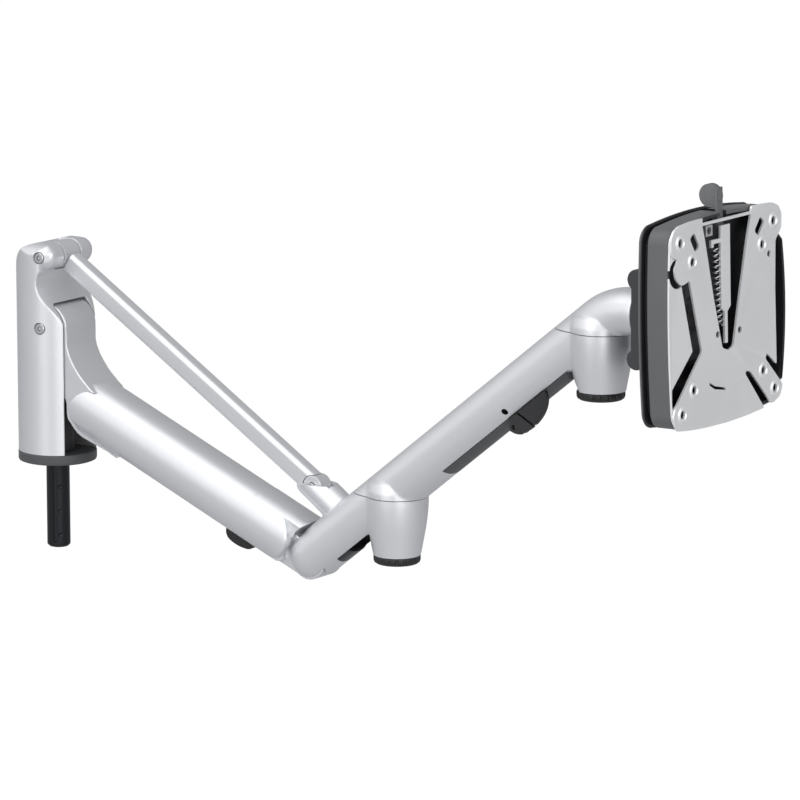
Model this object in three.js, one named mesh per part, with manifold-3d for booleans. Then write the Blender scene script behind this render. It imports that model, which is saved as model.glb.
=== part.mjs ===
// Two-section screen support arm, built as separate pieces in millimetres with +Z up.
// Origin: the swivel axis where it crosses the underside of the base ring.
// +X runs along the folded-out arm towards the screen plate, Y is across the arm.
import * as THREE from "three";
import { mergeVertices } from "three/addons/utils/BufferGeometryUtils.js";
import Module from "manifold-3d";

const wasm = await Module();
wasm.setup();

// ---------------------------------------------------------------- driving sizes
const GAP = 0.3;
const FLATNESS = 0.05;
const FINE = 36;
const MEDIUM = 20;
const SMALL = 16;

const SPIGOT = { r: 7.5, length: 57.5, chamfer: 1.6, shaftR: 8, shaftTop: 36 };
const DIMPLE = { r: 1.1, depth: 0.7, firstZ: -17.4, pitch: 15.8, count: 3, bearing: -41 };
const KEYWAY = { width: 3, depth: 0.9, bearing: -66, topZ: -3, bottomZ: -54 };
const RING = { r: 25.2, height: 6.5, round: 1.2, bore: 8.4 };
const COLUMN = { r: 25, bottom: 6.8, slotHalf: 15.5, slotBack: -9.8, floor: 14, earSlotHalf: 8.3 };

const PIVOT_A = { x: 6.2, z: 134.5 };
const PIVOT_B = { x: 6.2, z: 89 };
const PIVOT_C = { x: 208.5, z: 8.9 };
const PIVOT_D = { x: 208.5, z: -36.6 };
const ROD_ANGLE = Math.atan2(PIVOT_C.z - PIVOT_A.z, PIVOT_C.x - PIVOT_A.x);

const BOLT = { shankR: 2.8, headR: 3.5, headIn: 21.4, headOut: 24.2, socketR: 1.7, socketDepth: 1.6 };
const NUT = { r: 4.2, boreR: 3.1, inner: 21.4, outer: 24 };
const EYE = { r: 8.5, half: 7.8, tenonHalf: 2.6, tenonHeight: 6.4 };
const BAR = { height: 13.6, width: 11, round: 3.6, startFromA: 9.2, endFromC: 9.2 };

const LOWER = { slope: Math.atan(-0.4084), axisX: 80, axisZ: 19.25, halfW: 19, halfH: 18.3, power: 2.3 };
const COVER = { splitY: 13.3, endR: 14.2, leftX: 38.7, rightX: 183.6, wall: 2.4 };
const CASTING = { coreHalf: 13, neckHalf: 15, headR: 14.4, tongueHalf: 10, tongueR: 12.5, clearR: 17.6 };
const STRUT = { boreR: 10.5, bodyR: 9.5, bodyFromX: 62, bodyToX: 158, rodR: 4, rodFromX: 26, pinR: 3 };

const UPPER = { slope: Math.atan(0.7996), axisX: 207, axisZ: -35.2, halfW: 16.4, halfH: 15.5, power: 2.2 };
const CUP = { drop: 34, ringDrop: 38.5, ringR: 14.4, boreR: 10.8, seamGap: 0.3, footRise: 4 };
const ELBOW = { x: 269.7, seam: 11 };
const WRIST = { x: 419.3, seam: 130 };
const CLEVIS = { r: 10.2, slotHalf: 5.9, angle: -35 * Math.PI / 180 };
const EYE_C = { r: 7.2, half: 5.5 };
const SHAFT = { r: 8, bushR: 10.5, boreR: 8.3, socketR: 8.3, rise: 12 };
const CHANNEL = { half: 8, splitP: -12, fromX: 304, toX: 396, depthP: -5 };
const CLIP = { s: 201.5, halfLength: 18.2, topP: -15.9, drop: 10.8, half: 9.5, bandHalf: 6.4, lugHalf: 6,
  hingeS: 186.6, hingeP: -18.6, pinR: 1.1, roof: 1.7 };

const HEAD = { leanDeg: 1.6, pinX: 464.5, pinZ: 147, plateZ: 146.9, frontX: 508 };
const TILT = { pinR: 3.5, boreR: 3.8, earR: 6.8, knuckleR: 7.2, earIn: 10.9 };
const BRACKET = { x0: 449.6, x1: 456.5, half: 14.5, lobeR: 6.3, lobeUp: 166, lobeDown: 118.5 };

// ---------------------------------------------------------------- small geometry tools
function toSolid(geometry) {
  let plain = geometry.index ? geometry.toNonIndexed() : geometry.clone();
  plain.deleteAttribute("normal");
  plain.deleteAttribute("uv");
  plain = mergeVertices(plain, 1e-4);
  const kept = [];
  const index = plain.index.array;
  for (let i = 0; i < index.length; i += 3) {
    const [a, b, c] = [index[i], index[i + 1], index[i + 2]];
    if (a !== b && b !== c && c !== a) {
      kept.push(a, b, c);
    }
  }
  const mesh = new wasm.Mesh({
    numProp: 3,
    vertProperties: new Float32Array(plain.attributes.position.array),
    triVerts: new Uint32Array(kept),
  });
  return new wasm.Manifold(mesh);
}

function toGeometry(solid) {
  const mesh = solid.asOriginal().simplify(FLATNESS).getMesh();
  const geometry = new THREE.BufferGeometry();
  geometry.setAttribute("position", new THREE.BufferAttribute(new Float32Array(mesh.vertProperties), 3));
  geometry.setIndex(new THREE.BufferAttribute(new Uint32Array(mesh.triVerts), 1));
  const open = geometry.toNonIndexed();
  open.computeVertexNormals();
  return open;
}

function join(solids) {
  return solids.reduce((sum, next) => sum.add(next));
}

function cut(body, tools) {
  return tools.reduce((left, tool) => left.subtract(tool), body);
}

function shapeOf(points) {
  return new THREE.Shape(points.map(([u, v]) => new THREE.Vector2(u, v)));
}

function prism(shape, from, to, across, up, along, bevel = 0) {
  const geometry = new THREE.ExtrudeGeometry(shape, {
    depth: to - from - 2 * bevel,
    bevelEnabled: bevel > 0,
    bevelThickness: bevel,
    bevelSize: bevel,
    bevelOffset: -bevel,
    bevelSegments: 2,
    curveSegments: 5,
  });
  geometry.translate(0, 0, from + bevel);
  geometry.applyMatrix4(new THREE.Matrix4().makeBasis(across, up, along));
  return toSolid(geometry);
}

const X = new THREE.Vector3(1, 0, 0);
const Y = new THREE.Vector3(0, 1, 0);
const Z = new THREE.Vector3(0, 0, 1);

// A side profile in (x, z), carried across the arm from one y to another.
function sideSlab(shape, fromY, toY, bevel = 0) {
  const mirrored = new THREE.Vector3(0, -1, 0);
  return prism(shape, -toY, -fromY, X, Z, mirrored, bevel);
}

// A face profile in (y, z), carried along the arm from one x to another.
function faceSlab(shape, fromX, toX, bevel = 0) {
  return prism(shape, fromX, toX, Y, Z, X, bevel);
}

function box(x0, x1, y0, y1, z0, z1) {
  const geometry = new THREE.BoxGeometry(x1 - x0, y1 - y0, z1 - z0);
  geometry.translate((x0 + x1) / 2, (y0 + y1) / 2, (z0 + z1) / 2);
  return toSolid(geometry);
}

function cylinderBetween(from, to, r, segments = MEDIUM) {
  const a = new THREE.Vector3(...from);
  const b = new THREE.Vector3(...to);
  const geometry = new THREE.CylinderGeometry(r, r, a.distanceTo(b), segments);
  const turn = new THREE.Quaternion().setFromUnitVectors(Y, b.clone().sub(a).normalize());
  geometry.applyQuaternion(turn);
  geometry.translate((a.x + b.x) / 2, (a.y + b.y) / 2, (a.z + b.z) / 2);
  return toSolid(geometry);
}

function acrossPin(pivot, fromY, toY, r, segments = SMALL) {
  return cylinderBetween([pivot.x, fromY, pivot.z], [pivot.x, toY, pivot.z], r, segments);
}

// Turned about a vertical axis at x: profile pairs are [radius, z], closed on the axis.
function turned(profile, x = 0, segments = FINE) {
  const geometry = new THREE.LatheGeometry(profile.map(([r, z]) => new THREE.Vector2(r, z)), segments);
  geometry.rotateX(Math.PI / 2);
  geometry.scale(1, -1, 1);
  const index = geometry.index.array;
  for (let i = 0; i < index.length; i += 3) {
    const keep = index[i];
    index[i] = index[i + 1];
    index[i + 1] = keep;
  }
  geometry.translate(x, 0, 0);
  return toSolid(geometry);
}

function ovalPoints(halfW, halfH, power, count = MEDIUM) {
  const points = [];
  for (let i = 0; i < count; i += 1) {
    const angle = 2 * Math.PI * i / count;
    const u = Math.cos(angle);
    const v = Math.sin(angle);
    points.push([
      halfW * Math.sign(u) * Math.abs(u) ** (2 / power),
      halfH * Math.sign(v) * Math.abs(v) ** (2 / power),
    ]);
  }
  return points;
}

function roundedRect(halfU, halfV, r) {
  const shape = new THREE.Shape();
  shape.moveTo(-halfU + r, -halfV);
  shape.lineTo(halfU - r, -halfV);
  shape.absarc(halfU - r, -halfV + r, r, -Math.PI / 2, 0, false);
  shape.lineTo(halfU, halfV - r);
  shape.absarc(halfU - r, halfV - r, r, 0, Math.PI / 2, false);
  shape.lineTo(-halfU + r, halfV);
  shape.absarc(-halfU + r, halfV - r, r, Math.PI / 2, Math.PI, false);
  shape.lineTo(-halfU, -halfV + r);
  shape.absarc(-halfU + r, -halfV + r, r, Math.PI, 1.5 * Math.PI, false);
  return shape;
}

function circleShape(u, v, r) {
  return shapeOf(arcPoints(u, v, r, 0, 360, 28).slice(0, -1));
}

function arcPoints(u, v, r, fromDeg, toDeg, count) {
  const points = [];
  for (let i = 0; i <= count; i += 1) {
    const angle = (fromDeg + (toDeg - fromDeg) * i / count) * Math.PI / 180;
    points.push([u + r * Math.cos(angle), v + r * Math.sin(angle)]);
  }
  return points;
}

// A section in (y, perpendicular) carried along a sloping axis in the arm's own plane.
function slopedSweep(shape, line, fromX, toX, bevel = 0) {
  const along = new THREE.Vector3(Math.cos(line.slope), 0, Math.sin(line.slope));
  const up = new THREE.Vector3(-Math.sin(line.slope), 0, Math.cos(line.slope));
  const from = (fromX - line.axisX) / Math.cos(line.slope);
  const to = (toX - line.axisX) / Math.cos(line.slope);
  return prism(shape, from, to, Y, up, along, bevel).translate([line.axisX, 0, line.axisZ]);
}

function axisZAt(line, x) {
  return line.axisZ + (x - line.axisX) * Math.tan(line.slope);
}

// A point given as distance along a sloping axis and height square to it, in (x, z).
function localPoint(line, s, p) {
  const c = Math.cos(line.slope);
  const d = Math.sin(line.slope);
  return [line.axisX + s * c - p * d, line.axisZ + s * d + p * c];
}

function localSide(line, pairs) {
  return shapeOf(pairs.map(([s, p]) => localPoint(line, s, p)));
}

const group = new THREE.Group();

function addPiece(name, solid, colour, roughness, metalness) {
  const material = new THREE.MeshStandardMaterial({ color: colour, roughness, metalness });
  const mesh = new THREE.Mesh(toGeometry(solid), material);
  mesh.name = name;
  mesh.material.name = name;
  group.add(mesh);
}

const SILVER = [0xc9cbd0, 0.42, 0.75];
const STEEL = [0xb8babd, 0.3, 1.0];
const DARK = [0x3c3e41, 0.55, 0.1];
const BLACK = [0x17181a, 0.5, 0.1];
const NYLON = [0xe4e2da, 0.6, 0.0];

// ---------------------------------------------------------------- spigot and base ring
function buildSpigot() {
  const { r, length, chamfer, shaftR, shaftTop } = SPIGOT;
  let pin = turned([[0, -length], [r - chamfer, -length], [r, -length + chamfer], [r, -0.5],
    [shaftR, 0], [shaftR, shaftTop - 1], [shaftR - 1, shaftTop], [0, shaftTop]], 0, MEDIUM);
  const groove = box(r - KEYWAY.depth, r + 2, -KEYWAY.width / 2, KEYWAY.width / 2,
    KEYWAY.bottomZ, KEYWAY.topZ).rotate([0, 0, KEYWAY.bearing]);
  pin = pin.subtract(groove);
  for (let i = 0; i < DIMPLE.count; i += 1) {
    const z = DIMPLE.firstZ - i * DIMPLE.pitch;
    const hole = cylinderBetween([r - DIMPLE.depth, 0, z], [r + 2, 0, z], DIMPLE.r, 12);
    pin = pin.subtract(hole.rotate([0, 0, DIMPLE.bearing]));
  }
  return pin;
}
addPiece("spigot_pin", buildSpigot(), ...BLACK);

addPiece("base_ring", turned([[RING.bore, 0], [RING.r - RING.round, 0], [RING.r, RING.round],
  [RING.r, RING.height], [RING.bore, RING.height], [RING.bore, 0]]), ...DARK);

// ---------------------------------------------------------------- column
const COLUMN_SIDE = [
  [-26, COLUMN.bottom], [26, COLUMN.bottom], [26, 84], [20.4, 84.6], [19.3, 90.3], [17.2, 95.9],
  [13.6, 101], [8.8, 106.9], [5, 112.8], [4.2, 118.5], [5.6, 123.8], [8.6, 128], [11.6, 128.3],
  ...arcPoints(PIVOT_A.x, PIVOT_A.z, 8.6, -40, 90, 8),
  [1, 143], [-5, 141.4], [-11, 137.8], [-16, 132.8], [-20, 126.5], [-23.4, 118.5], [-26, 108],
];

function buildColumn() {
  const round = turned([[0, COLUMN.bottom], [COLUMN.r, COLUMN.bottom], [COLUMN.r, 150], [0, 150]], 0, 60);
  const shell = round.intersect(sideSlab(shapeOf(COLUMN_SIDE), -30, 30));
  const clearB = CASTING.headR + 0.9;
  const slot = join([
    box(COLUMN.slotBack, 40, -COLUMN.slotHalf, COLUMN.slotHalf, COLUMN.floor, PIVOT_B.z),
    acrossPin(PIVOT_B, -COLUMN.slotHalf, COLUMN.slotHalf, clearB, MEDIUM),
    box(PIVOT_B.x, 40, -COLUMN.slotHalf, COLUMN.slotHalf, PIVOT_B.z - 1, PIVOT_B.z + 9),
  ]);
  const clearA = EYE.r + 0.8;
  const ears = join([
    acrossPin(PIVOT_A, -COLUMN.earSlotHalf, COLUMN.earSlotHalf, clearA, MEDIUM),
    box(PIVOT_A.x - clearA, 40, -COLUMN.earSlotHalf, COLUMN.earSlotHalf, PIVOT_A.z, 160),
    box(PIVOT_A.x, 40, -COLUMN.earSlotHalf, COLUMN.earSlotHalf, 122, 160),
  ]);
  const tools = [slot, ears, turned([[0, 0], [12.3, 0], [12.3, 41], [0, 41]], 0, MEDIUM)];
  for (const pivot of [PIVOT_A, PIVOT_B]) {
    tools.push(acrossPin(pivot, -30, 30, BOLT.shankR + GAP));
    tools.push(acrossPin(pivot, -30, -BOLT.headIn + GAP, BOLT.headR + GAP));
    tools.push(acrossPin(pivot, NUT.inner - GAP, 30, NUT.r + GAP));
  }
  return cut(shell, tools);
}
addPiece("column_shell", buildColumn(), ...SILVER);

addPiece("column_bush", turned([[SPIGOT.shaftR + GAP, 7], [12, 7], [12, 38], [SPIGOT.shaftR + GAP, 38],
  [SPIGOT.shaftR + GAP, 7]], 0, MEDIUM), ...BLACK);

function pivotBolt(pivot, lobes) {
  const shank = acrossPin(pivot, -BOLT.headIn - 0.4, NUT.outer, BOLT.shankR);
  const head = acrossPin(pivot, -BOLT.headOut, -BOLT.headIn, BOLT.headR, MEDIUM);
  const bottom = -BOLT.headOut + BOLT.socketDepth;
  const socket = cylinderBetween([pivot.x, -BOLT.headOut - 1, pivot.z], [pivot.x, bottom, pivot.z],
    BOLT.socketR, lobes);
  return shank.add(head).subtract(socket);
}

function pivotNut(pivot) {
  const body = acrossPin(pivot, NUT.inner, NUT.outer, NUT.r, 6);
  return body.subtract(acrossPin(pivot, NUT.inner - 1, NUT.outer + 1, NUT.boreR));
}
addPiece("pivot_bolt_a", pivotBolt(PIVOT_A, 6), ...STEEL);
addPiece("pivot_nut_a", pivotNut(PIVOT_A), ...STEEL);
addPiece("pivot_bolt_b", pivotBolt(PIVOT_B, 6), ...STEEL);
addPiece("pivot_nut_b", pivotNut(PIVOT_B), ...STEEL);

// ---------------------------------------------------------------- lower arm
const NECK_SIDE = [
  ...arcPoints(PIVOT_B.x, PIVOT_B.z, CASTING.headR, 190, 4, 14),
  [20.6, 84], [21, 76.4], [24.7, 68.6], [30.5, 60.9], [37.4, 54.3], [44.3, 48.9], [56, 43],
  [78, 30], [76, 12], [52, 13.6], [40, 17.6], [32.5, 20.2], [26.6, 24], [22.4, 29.6], [20.6, 36],
  [19.6, 41.5], [15.5, 46.6], [9.4, 52.6], [1, 63], [-5, 75],
];

function lowerStadium(r, growLeft = 0, growRight = 0) {
  const left = [COVER.leftX - growLeft, axisZAt(LOWER, COVER.leftX - growLeft)];
  const right = [COVER.rightX + growRight, axisZAt(LOWER, COVER.rightX + growRight)];
  const tilt = LOWER.slope * 180 / Math.PI;
  return shapeOf([
    ...arcPoints(right[0], right[1], r, tilt - 90, tilt + 90, 14),
    ...arcPoints(left[0], left[1], r, tilt + 90, tilt + 270, 14),
  ]);
}

function buildLowerCasting() {
  const section = shapeOf(ovalPoints(LOWER.halfW, LOWER.halfH, LOWER.power, 32));
  const tube = slopedSweep(section, LOWER, 20, 200);
  const coreSide = lowerStadium(LOWER.halfH, 0, -2);
  const core = tube.intersect(sideSlab(coreSide, -CASTING.coreHalf, CASTING.coreHalf));
  const neck = sideSlab(shapeOf(NECK_SIDE), -CASTING.neckHalf, CASTING.neckHalf, 1);
  const tongueSide = shapeOf([[176, -12], [PIVOT_D.x - 3, PIVOT_D.z + 12], [PIVOT_D.x, PIVOT_D.z],
    [PIVOT_D.x - 5, PIVOT_D.z - 11], [180, -38]]);
  const tongue = join([
    sideSlab(tongueSide, -CASTING.tongueHalf, CASTING.tongueHalf),
    acrossPin(PIVOT_D, -CASTING.tongueHalf, CASTING.tongueHalf, CASTING.tongueR, MEDIUM),
  ]);
  const coverSeat = lowerStadium(COVER.endR + GAP);
  let body = core.subtract(acrossPin(PIVOT_D, -40, 40, CASTING.clearR, MEDIUM));
  body = join([body, neck.subtract(sideSlab(coverSeat, -40, -CASTING.coreHalf))
    .subtract(sideSlab(coverSeat, CASTING.coreHalf, 40)), tongue]);
  const bore = slopedSweep(circleShape(0, 0, STRUT.boreR), LOWER, 2, STRUT.bodyToX + 8);
  return cut(body, [
    bore,
    acrossPin(PIVOT_B, -40, 40, 5.8, MEDIUM),
    acrossPin(PIVOT_D, -40, 40, 4.3),
    acrossPin({ x: STRUT.bodyToX + 4, z: axisZAt(LOWER, STRUT.bodyToX + 4) }, -40, 40, STRUT.pinR + GAP),
  ]);
}
addPiece("lower_arm_casting", buildLowerCasting(), ...SILVER);

function buildArmCover(side) {
  const section = shapeOf(ovalPoints(LOWER.halfW, LOWER.halfH, LOWER.power, 32));
  const inner = shapeOf(ovalPoints(LOWER.halfW - COVER.wall, LOWER.halfH, LOWER.power, 32));
  const tube = slopedSweep(section, LOWER, 15, 205);
  const hollow = slopedSweep(inner, LOWER, 10, 210);
  const y0 = side > 0 ? COVER.splitY : -30;
  const y1 = side > 0 ? 30 : -COVER.splitY;
  const shell = tube.intersect(sideSlab(lowerStadium(COVER.endR), y0, y1));
  const pocket = hollow.intersect(sideSlab(lowerStadium(COVER.endR - COVER.wall), -40, 40));
  return shell.subtract(pocket);
}
addPiece("arm_cover_near", buildArmCover(-1), ...SILVER);
addPiece("arm_cover_far", buildArmCover(1), ...SILVER);

addPiece("pivot_sleeve_b", acrossPin(PIVOT_B, -14.7, 14.7, 5.5, MEDIUM)
  .subtract(acrossPin(PIVOT_B, -20, 20, BOLT.shankR + GAP)), ...NYLON);

function buildStrutBody() {
  const body = slopedSweep(circleShape(0, 0, STRUT.bodyR), LOWER, STRUT.bodyFromX, STRUT.bodyToX + 7);
  const rodBore = circleShape(0, 0, STRUT.rodR + GAP);
  const bore = slopedSweep(rodBore, LOWER, STRUT.bodyFromX - 5, STRUT.bodyToX - 12);
  const pin = { x: STRUT.bodyToX + 4, z: axisZAt(LOWER, STRUT.bodyToX + 4) };
  return cut(body, [bore, acrossPin(pin, -20, 20, STRUT.pinR + GAP)]);
}
addPiece("gas_strut_body", buildStrutBody(), ...BLACK);
addPiece("gas_strut_rod", slopedSweep(circleShape(0, 0, STRUT.rodR), LOWER, STRUT.rodFromX,
  STRUT.bodyToX - 14), ...STEEL);
addPiece("strut_pin", acrossPin({ x: STRUT.bodyToX + 4, z: axisZAt(LOWER, STRUT.bodyToX + 4) }, -12.8, 12.8,
  STRUT.pinR), ...STEEL);

function buildLowerClip() {
  const side = localSide(LOWER, [[72, -18.7], [73.6, -23.4], [77.5, -26.9], [85.5, -26.6], [95, -23.8],
    [98.4, -18.7]]);
  const cable = localSide(LOWER, [[60, -20.2], [60, -23], [110, -23], [110, -20.2]]);
  return sideSlab(side, -8, 8).subtract(sideSlab(cable, -5.6, 5.6));
}
addPiece("lower_cable_clip", buildLowerClip(), ...BLACK);

// ---------------------------------------------------------------- link rod
function alongRod(pivot, distance, y = 0) {
  return [pivot.x + distance * Math.cos(ROD_ANGLE), y, pivot.z + distance * Math.sin(ROD_ANGLE)];
}

function rodPrism(halfHeight, halfWidth, round, fromA, toA, bevel = 0) {
  const line = { slope: ROD_ANGLE, axisX: PIVOT_A.x, axisZ: PIVOT_A.z };
  const cosine = Math.cos(ROD_ANGLE);
  return slopedSweep(roundedRect(halfWidth, halfHeight, round), line,
    PIVOT_A.x + fromA * cosine, PIVOT_A.x + toA * cosine, bevel);
}
const ROD_LENGTH = Math.hypot(PIVOT_C.x - PIVOT_A.x, PIVOT_C.z - PIVOT_A.z);

function buildLinkBar() {
  const bar = rodPrism(BAR.height / 2, BAR.width / 2, BAR.round, BAR.startFromA, ROD_LENGTH - BAR.endFromC);
  const halfHeight = EYE.tenonHeight / 2 + GAP;
  const halfWidth = EYE.tenonHalf + GAP;
  const socketA = rodPrism(halfHeight, halfWidth, 1, 5, 26);
  const socketC = rodPrism(halfHeight, halfWidth, 1, ROD_LENGTH - 26, ROD_LENGTH - 5);
  return cut(bar, [socketA, socketC]);
}
addPiece("link_bar", buildLinkBar(), ...SILVER);

function buildEye(pivot, r, half, towards, stopFromPivot) {
  const eye = acrossPin(pivot, -half, half, r, MEDIUM);
  const fromA = towards > 0 ? 3 : ROD_LENGTH - 25;
  const toA = towards > 0 ? 25 : ROD_LENGTH - 3;
  const tenon = rodPrism(EYE.tenonHeight / 2, EYE.tenonHalf, 1, fromA, toA);
  const limit = rodPrism(30, 30, 1, towards > 0 ? stopFromPivot : ROD_LENGTH - 60,
    towards > 0 ? 60 : ROD_LENGTH - stopFromPivot);
  return eye.subtract(limit).add(tenon).subtract(acrossPin(pivot, -20, 20, BOLT.shankR + GAP));
}
addPiece("link_eye_a", buildEye(PIVOT_A, EYE.r, EYE.half, 1, BAR.startFromA - GAP), ...SILVER);
addPiece("link_eye_c", buildEye(PIVOT_C, EYE_C.r, EYE_C.half, -1, BAR.endFromC - GAP), ...SILVER);

// ---------------------------------------------------------------- swivel cups
function cupProfile(seam) {
  const drop = [[19.5, 0], [19.4, 6], [18.8, 12], [17.9, 18], [16.8, 24], [15.6, 29.5], [14.6, CUP.drop]];
  const outer = drop.map(([r, depth]) => [r, seam - GAP / 2 - depth]);
  return [[0, seam - GAP / 2], ...outer, [0, outer[outer.length - 1][1]]].reverse();
}

function cupBody(x, seam) {
  return turned(cupProfile(seam), x);
}

function cupBore(x, seam) {
  return turned([[0, seam - CUP.drop - 5], [SHAFT.bushR + GAP, seam - CUP.drop - 5],
    [SHAFT.bushR + GAP, seam + 5], [0, seam + 5]], x, MEDIUM);
}

function cupRing(x, seam) {
  const top = seam - CUP.drop - GAP - GAP / 2;
  const bottom = seam - CUP.ringDrop;
  let ring = turned([[0, bottom], [CUP.ringR - 1, bottom], [CUP.ringR, bottom + 1], [CUP.ringR, top],
    [0, top]], x, MEDIUM);
  const notches = 14;
  for (let i = 0; i < notches; i += 1) {
    const tooth = box(CUP.ringR - 0.5, CUP.ringR + 2, -0.7, 0.7, bottom - 1, top - 0.8);
    ring = ring.subtract(tooth.rotate([0, 0, 360 * i / notches]).translate([x, 0, 0]));
  }
  return ring;
}

function swivelShaft(x, seam) {
  const bottom = seam - CUP.drop + 1.5;
  const top = seam + SHAFT.rise;
  return turned([[0, bottom], [SHAFT.r - 1, bottom], [SHAFT.r, bottom + 1], [SHAFT.r, top - 1],
    [SHAFT.r - 1, top], [0, top]], x, MEDIUM);
}

function swivelBush(x, seam) {
  const bottom = seam - CUP.drop + 1;
  const top = seam - 1;
  return turned([[SHAFT.boreR, bottom], [SHAFT.bushR, bottom], [SHAFT.bushR, top], [SHAFT.boreR, top],
    [SHAFT.boreR, bottom]], x, MEDIUM);
}

function shaftSocket(x, seam) {
  return turned([[0, seam - 5], [SHAFT.socketR, seam - 5], [SHAFT.socketR, seam + SHAFT.rise + 0.5],
    [0, seam + SHAFT.rise + 0.5]], x, MEDIUM);
}

function footBody(x, seam) {
  const z = seam + GAP / 2;
  return turned([[0, z], [19.5, z], [19.3, z + CUP.footRise], [17.5, z + 9], [12, z + 13], [0, z + 14]], x);
}

function below(z) {
  return box(-100, 700, -100, 100, z - 400, z);
}

function above(z) {
  return box(-100, 700, -100, 100, z, z + 400);
}

const UPPER_SECTION = shapeOf(ovalPoints(UPPER.halfW, UPPER.halfH, UPPER.power, 32));

// ---------------------------------------------------------------- elbow
function buildElbow() {
  const tube = slopedSweep(UPPER_SECTION, UPPER, 180, 300);
  const tilt = UPPER.slope * 180 / Math.PI;
  const nose = [208, -35.5];
  const far = [300, axisZAt(UPPER, 300)];
  const sideShape = shapeOf([
    ...arcPoints(nose[0], nose[1], 15, tilt + 90, tilt + 270, 16),
    ...arcPoints(far[0], far[1], 40, tilt - 90, tilt + 90, 4),
  ]);
  const planShape = shapeOf([...arcPoints(0, 0, 16.3, 90, 270, 16), [130, -17], [130, 17]]);
  const along = new THREE.Vector3(Math.cos(UPPER.slope), 0, Math.sin(UPPER.slope));
  const up = new THREE.Vector3(-Math.sin(UPPER.slope), 0, Math.cos(UPPER.slope));
  const plan = prism(planShape, -60, 60, along, Y.clone().negate(), up.clone().negate())
    .translate([nose[0] + 1, 0, nose[1] + 1]);
  const body = tube.intersect(sideSlab(sideShape, -30, 30)).intersect(plan)
    .intersect(below(ELBOW.seam - GAP / 2));
  const sleeveEnd = [PIVOT_C.x + 34 * Math.cos(CLEVIS.angle), 0, PIVOT_C.z + 34 * Math.sin(CLEVIS.angle)];
  const ear = acrossPin(PIVOT_C, -CLEVIS.r, CLEVIS.r, CLEVIS.r, MEDIUM);
  const sleeve = cylinderBetween([PIVOT_C.x, 0, PIVOT_C.z], sleeveEnd, CLEVIS.r);
  const earRound = turned([[0, -20], [CLEVIS.r, -20], [CLEVIS.r, 40], [0, 40]], 0, MEDIUM);
  const earCap = ear.intersect(earRound.rotate([0, 90 + 35, 0]).translate([PIVOT_C.x, 0, PIVOT_C.z]));
  const bridge = join([sleeve, earCap]).intersect(below(ELBOW.seam + 12));
  const forkLine = { slope: CLEVIS.angle, axisX: PIVOT_C.x, axisZ: PIVOT_C.z };
  const fork = slopedSweep(roundedRect(CLEVIS.slotHalf, 16, 1), forkLine, PIVOT_C.x - 20, PIVOT_C.x + 8.5);
  const exitSlot = slopedSweep(roundedRect(7.5, 6, 3), { ...UPPER, axisZ: UPPER.axisZ - 16 }, 232, 252);
  const joined = join([body, bridge.subtract(fork), cupBody(ELBOW.x, ELBOW.seam)]);
  const room = CASTING.tongueHalf + 0.4;
  const tongueRoom = join([
    acrossPin(PIVOT_D, -room, room, CASTING.tongueR + 0.8, MEDIUM),
    box(PIVOT_D.x - 60, PIVOT_D.x, -room, room, -90, PIVOT_D.z + 13.3),
  ]);
  const clearTop = sideSlab(shapeOf([[150, -90], [PIVOT_D.x - 4, -90], [PIVOT_D.x + 10.4, PIVOT_D.z - 8.4],
    [PIVOT_D.x, PIVOT_D.z + 13.3], [200, -10], [150, 10]]), -room, room);
  return cut(joined, [
    fork,
    tongueRoom,
    clearTop,
    exitSlot,
    cupBore(ELBOW.x, ELBOW.seam),
    acrossPin(PIVOT_D, -13, 30, 4.3),
    acrossPin(PIVOT_C, -8.2, 30, BOLT.shankR + GAP),
  ]);
}
addPiece("elbow_casting", buildElbow(), ...SILVER);
addPiece("elbow_pin", acrossPin(PIVOT_D, -12.7, 14.4, 4, MEDIUM), ...STEEL);
addPiece("clevis_pin", acrossPin(PIVOT_C, -7.9, 8.6, BOLT.shankR), ...STEEL);
addPiece("elbow_bush", swivelBush(ELBOW.x, ELBOW.seam), ...NYLON);
addPiece("elbow_ring", cupRing(ELBOW.x, ELBOW.seam), ...BLACK);

// ---------------------------------------------------------------- upper arm
function bottomBand(fromX, toX, topP) {
  const shape = shapeOf([[-30, -40], [30, -40], [30, topP], [-30, topP]]);
  return slopedSweep(shape, UPPER, fromX, toX);
}

function buildUpperArm() {
  const tube = slopedSweep(UPPER_SECTION, UPPER, 225, 455);
  const trimmed = tube.intersect(above(ELBOW.seam + GAP / 2)).intersect(below(WRIST.seam - GAP / 2));
  const body = join([trimmed, footBody(ELBOW.x, ELBOW.seam), cupBody(WRIST.x, WRIST.seam)]);
  const channelShape = shapeOf([[-CHANNEL.half, -40], [CHANNEL.half, -40], [CHANNEL.half, CHANNEL.depthP],
    [-CHANNEL.half, CHANNEL.depthP]]);
  return cut(body, [
    bottomBand(CHANNEL.fromX, CHANNEL.toX, CHANNEL.splitP),
    slopedSweep(channelShape, UPPER, CHANNEL.fromX, CHANNEL.toX - 4),
    cupBore(WRIST.x, WRIST.seam),
    shaftSocket(ELBOW.x, ELBOW.seam),
    cylinderBetween([361, -30, 77.5], [361, -12.5, 77.5], 1.5, 16),
  ]);
}
addPiece("upper_arm_casting", buildUpperArm(), ...SILVER);
addPiece("elbow_shaft", swivelShaft(ELBOW.x, ELBOW.seam), ...STEEL);

function buildCableCover() {
  const tube = slopedSweep(UPPER_SECTION, UPPER, CHANNEL.fromX + GAP, CHANNEL.toX - GAP);
  const cupRoom = turned([[0, 60], [20.2, 60], [20.2, 140], [0, 140]], WRIST.x);
  return tube.intersect(bottomBand(290, 420, CHANNEL.splitP - GAP)).subtract(cupRoom);
}
addPiece("cable_cover", buildCableCover(), ...DARK);

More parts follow.
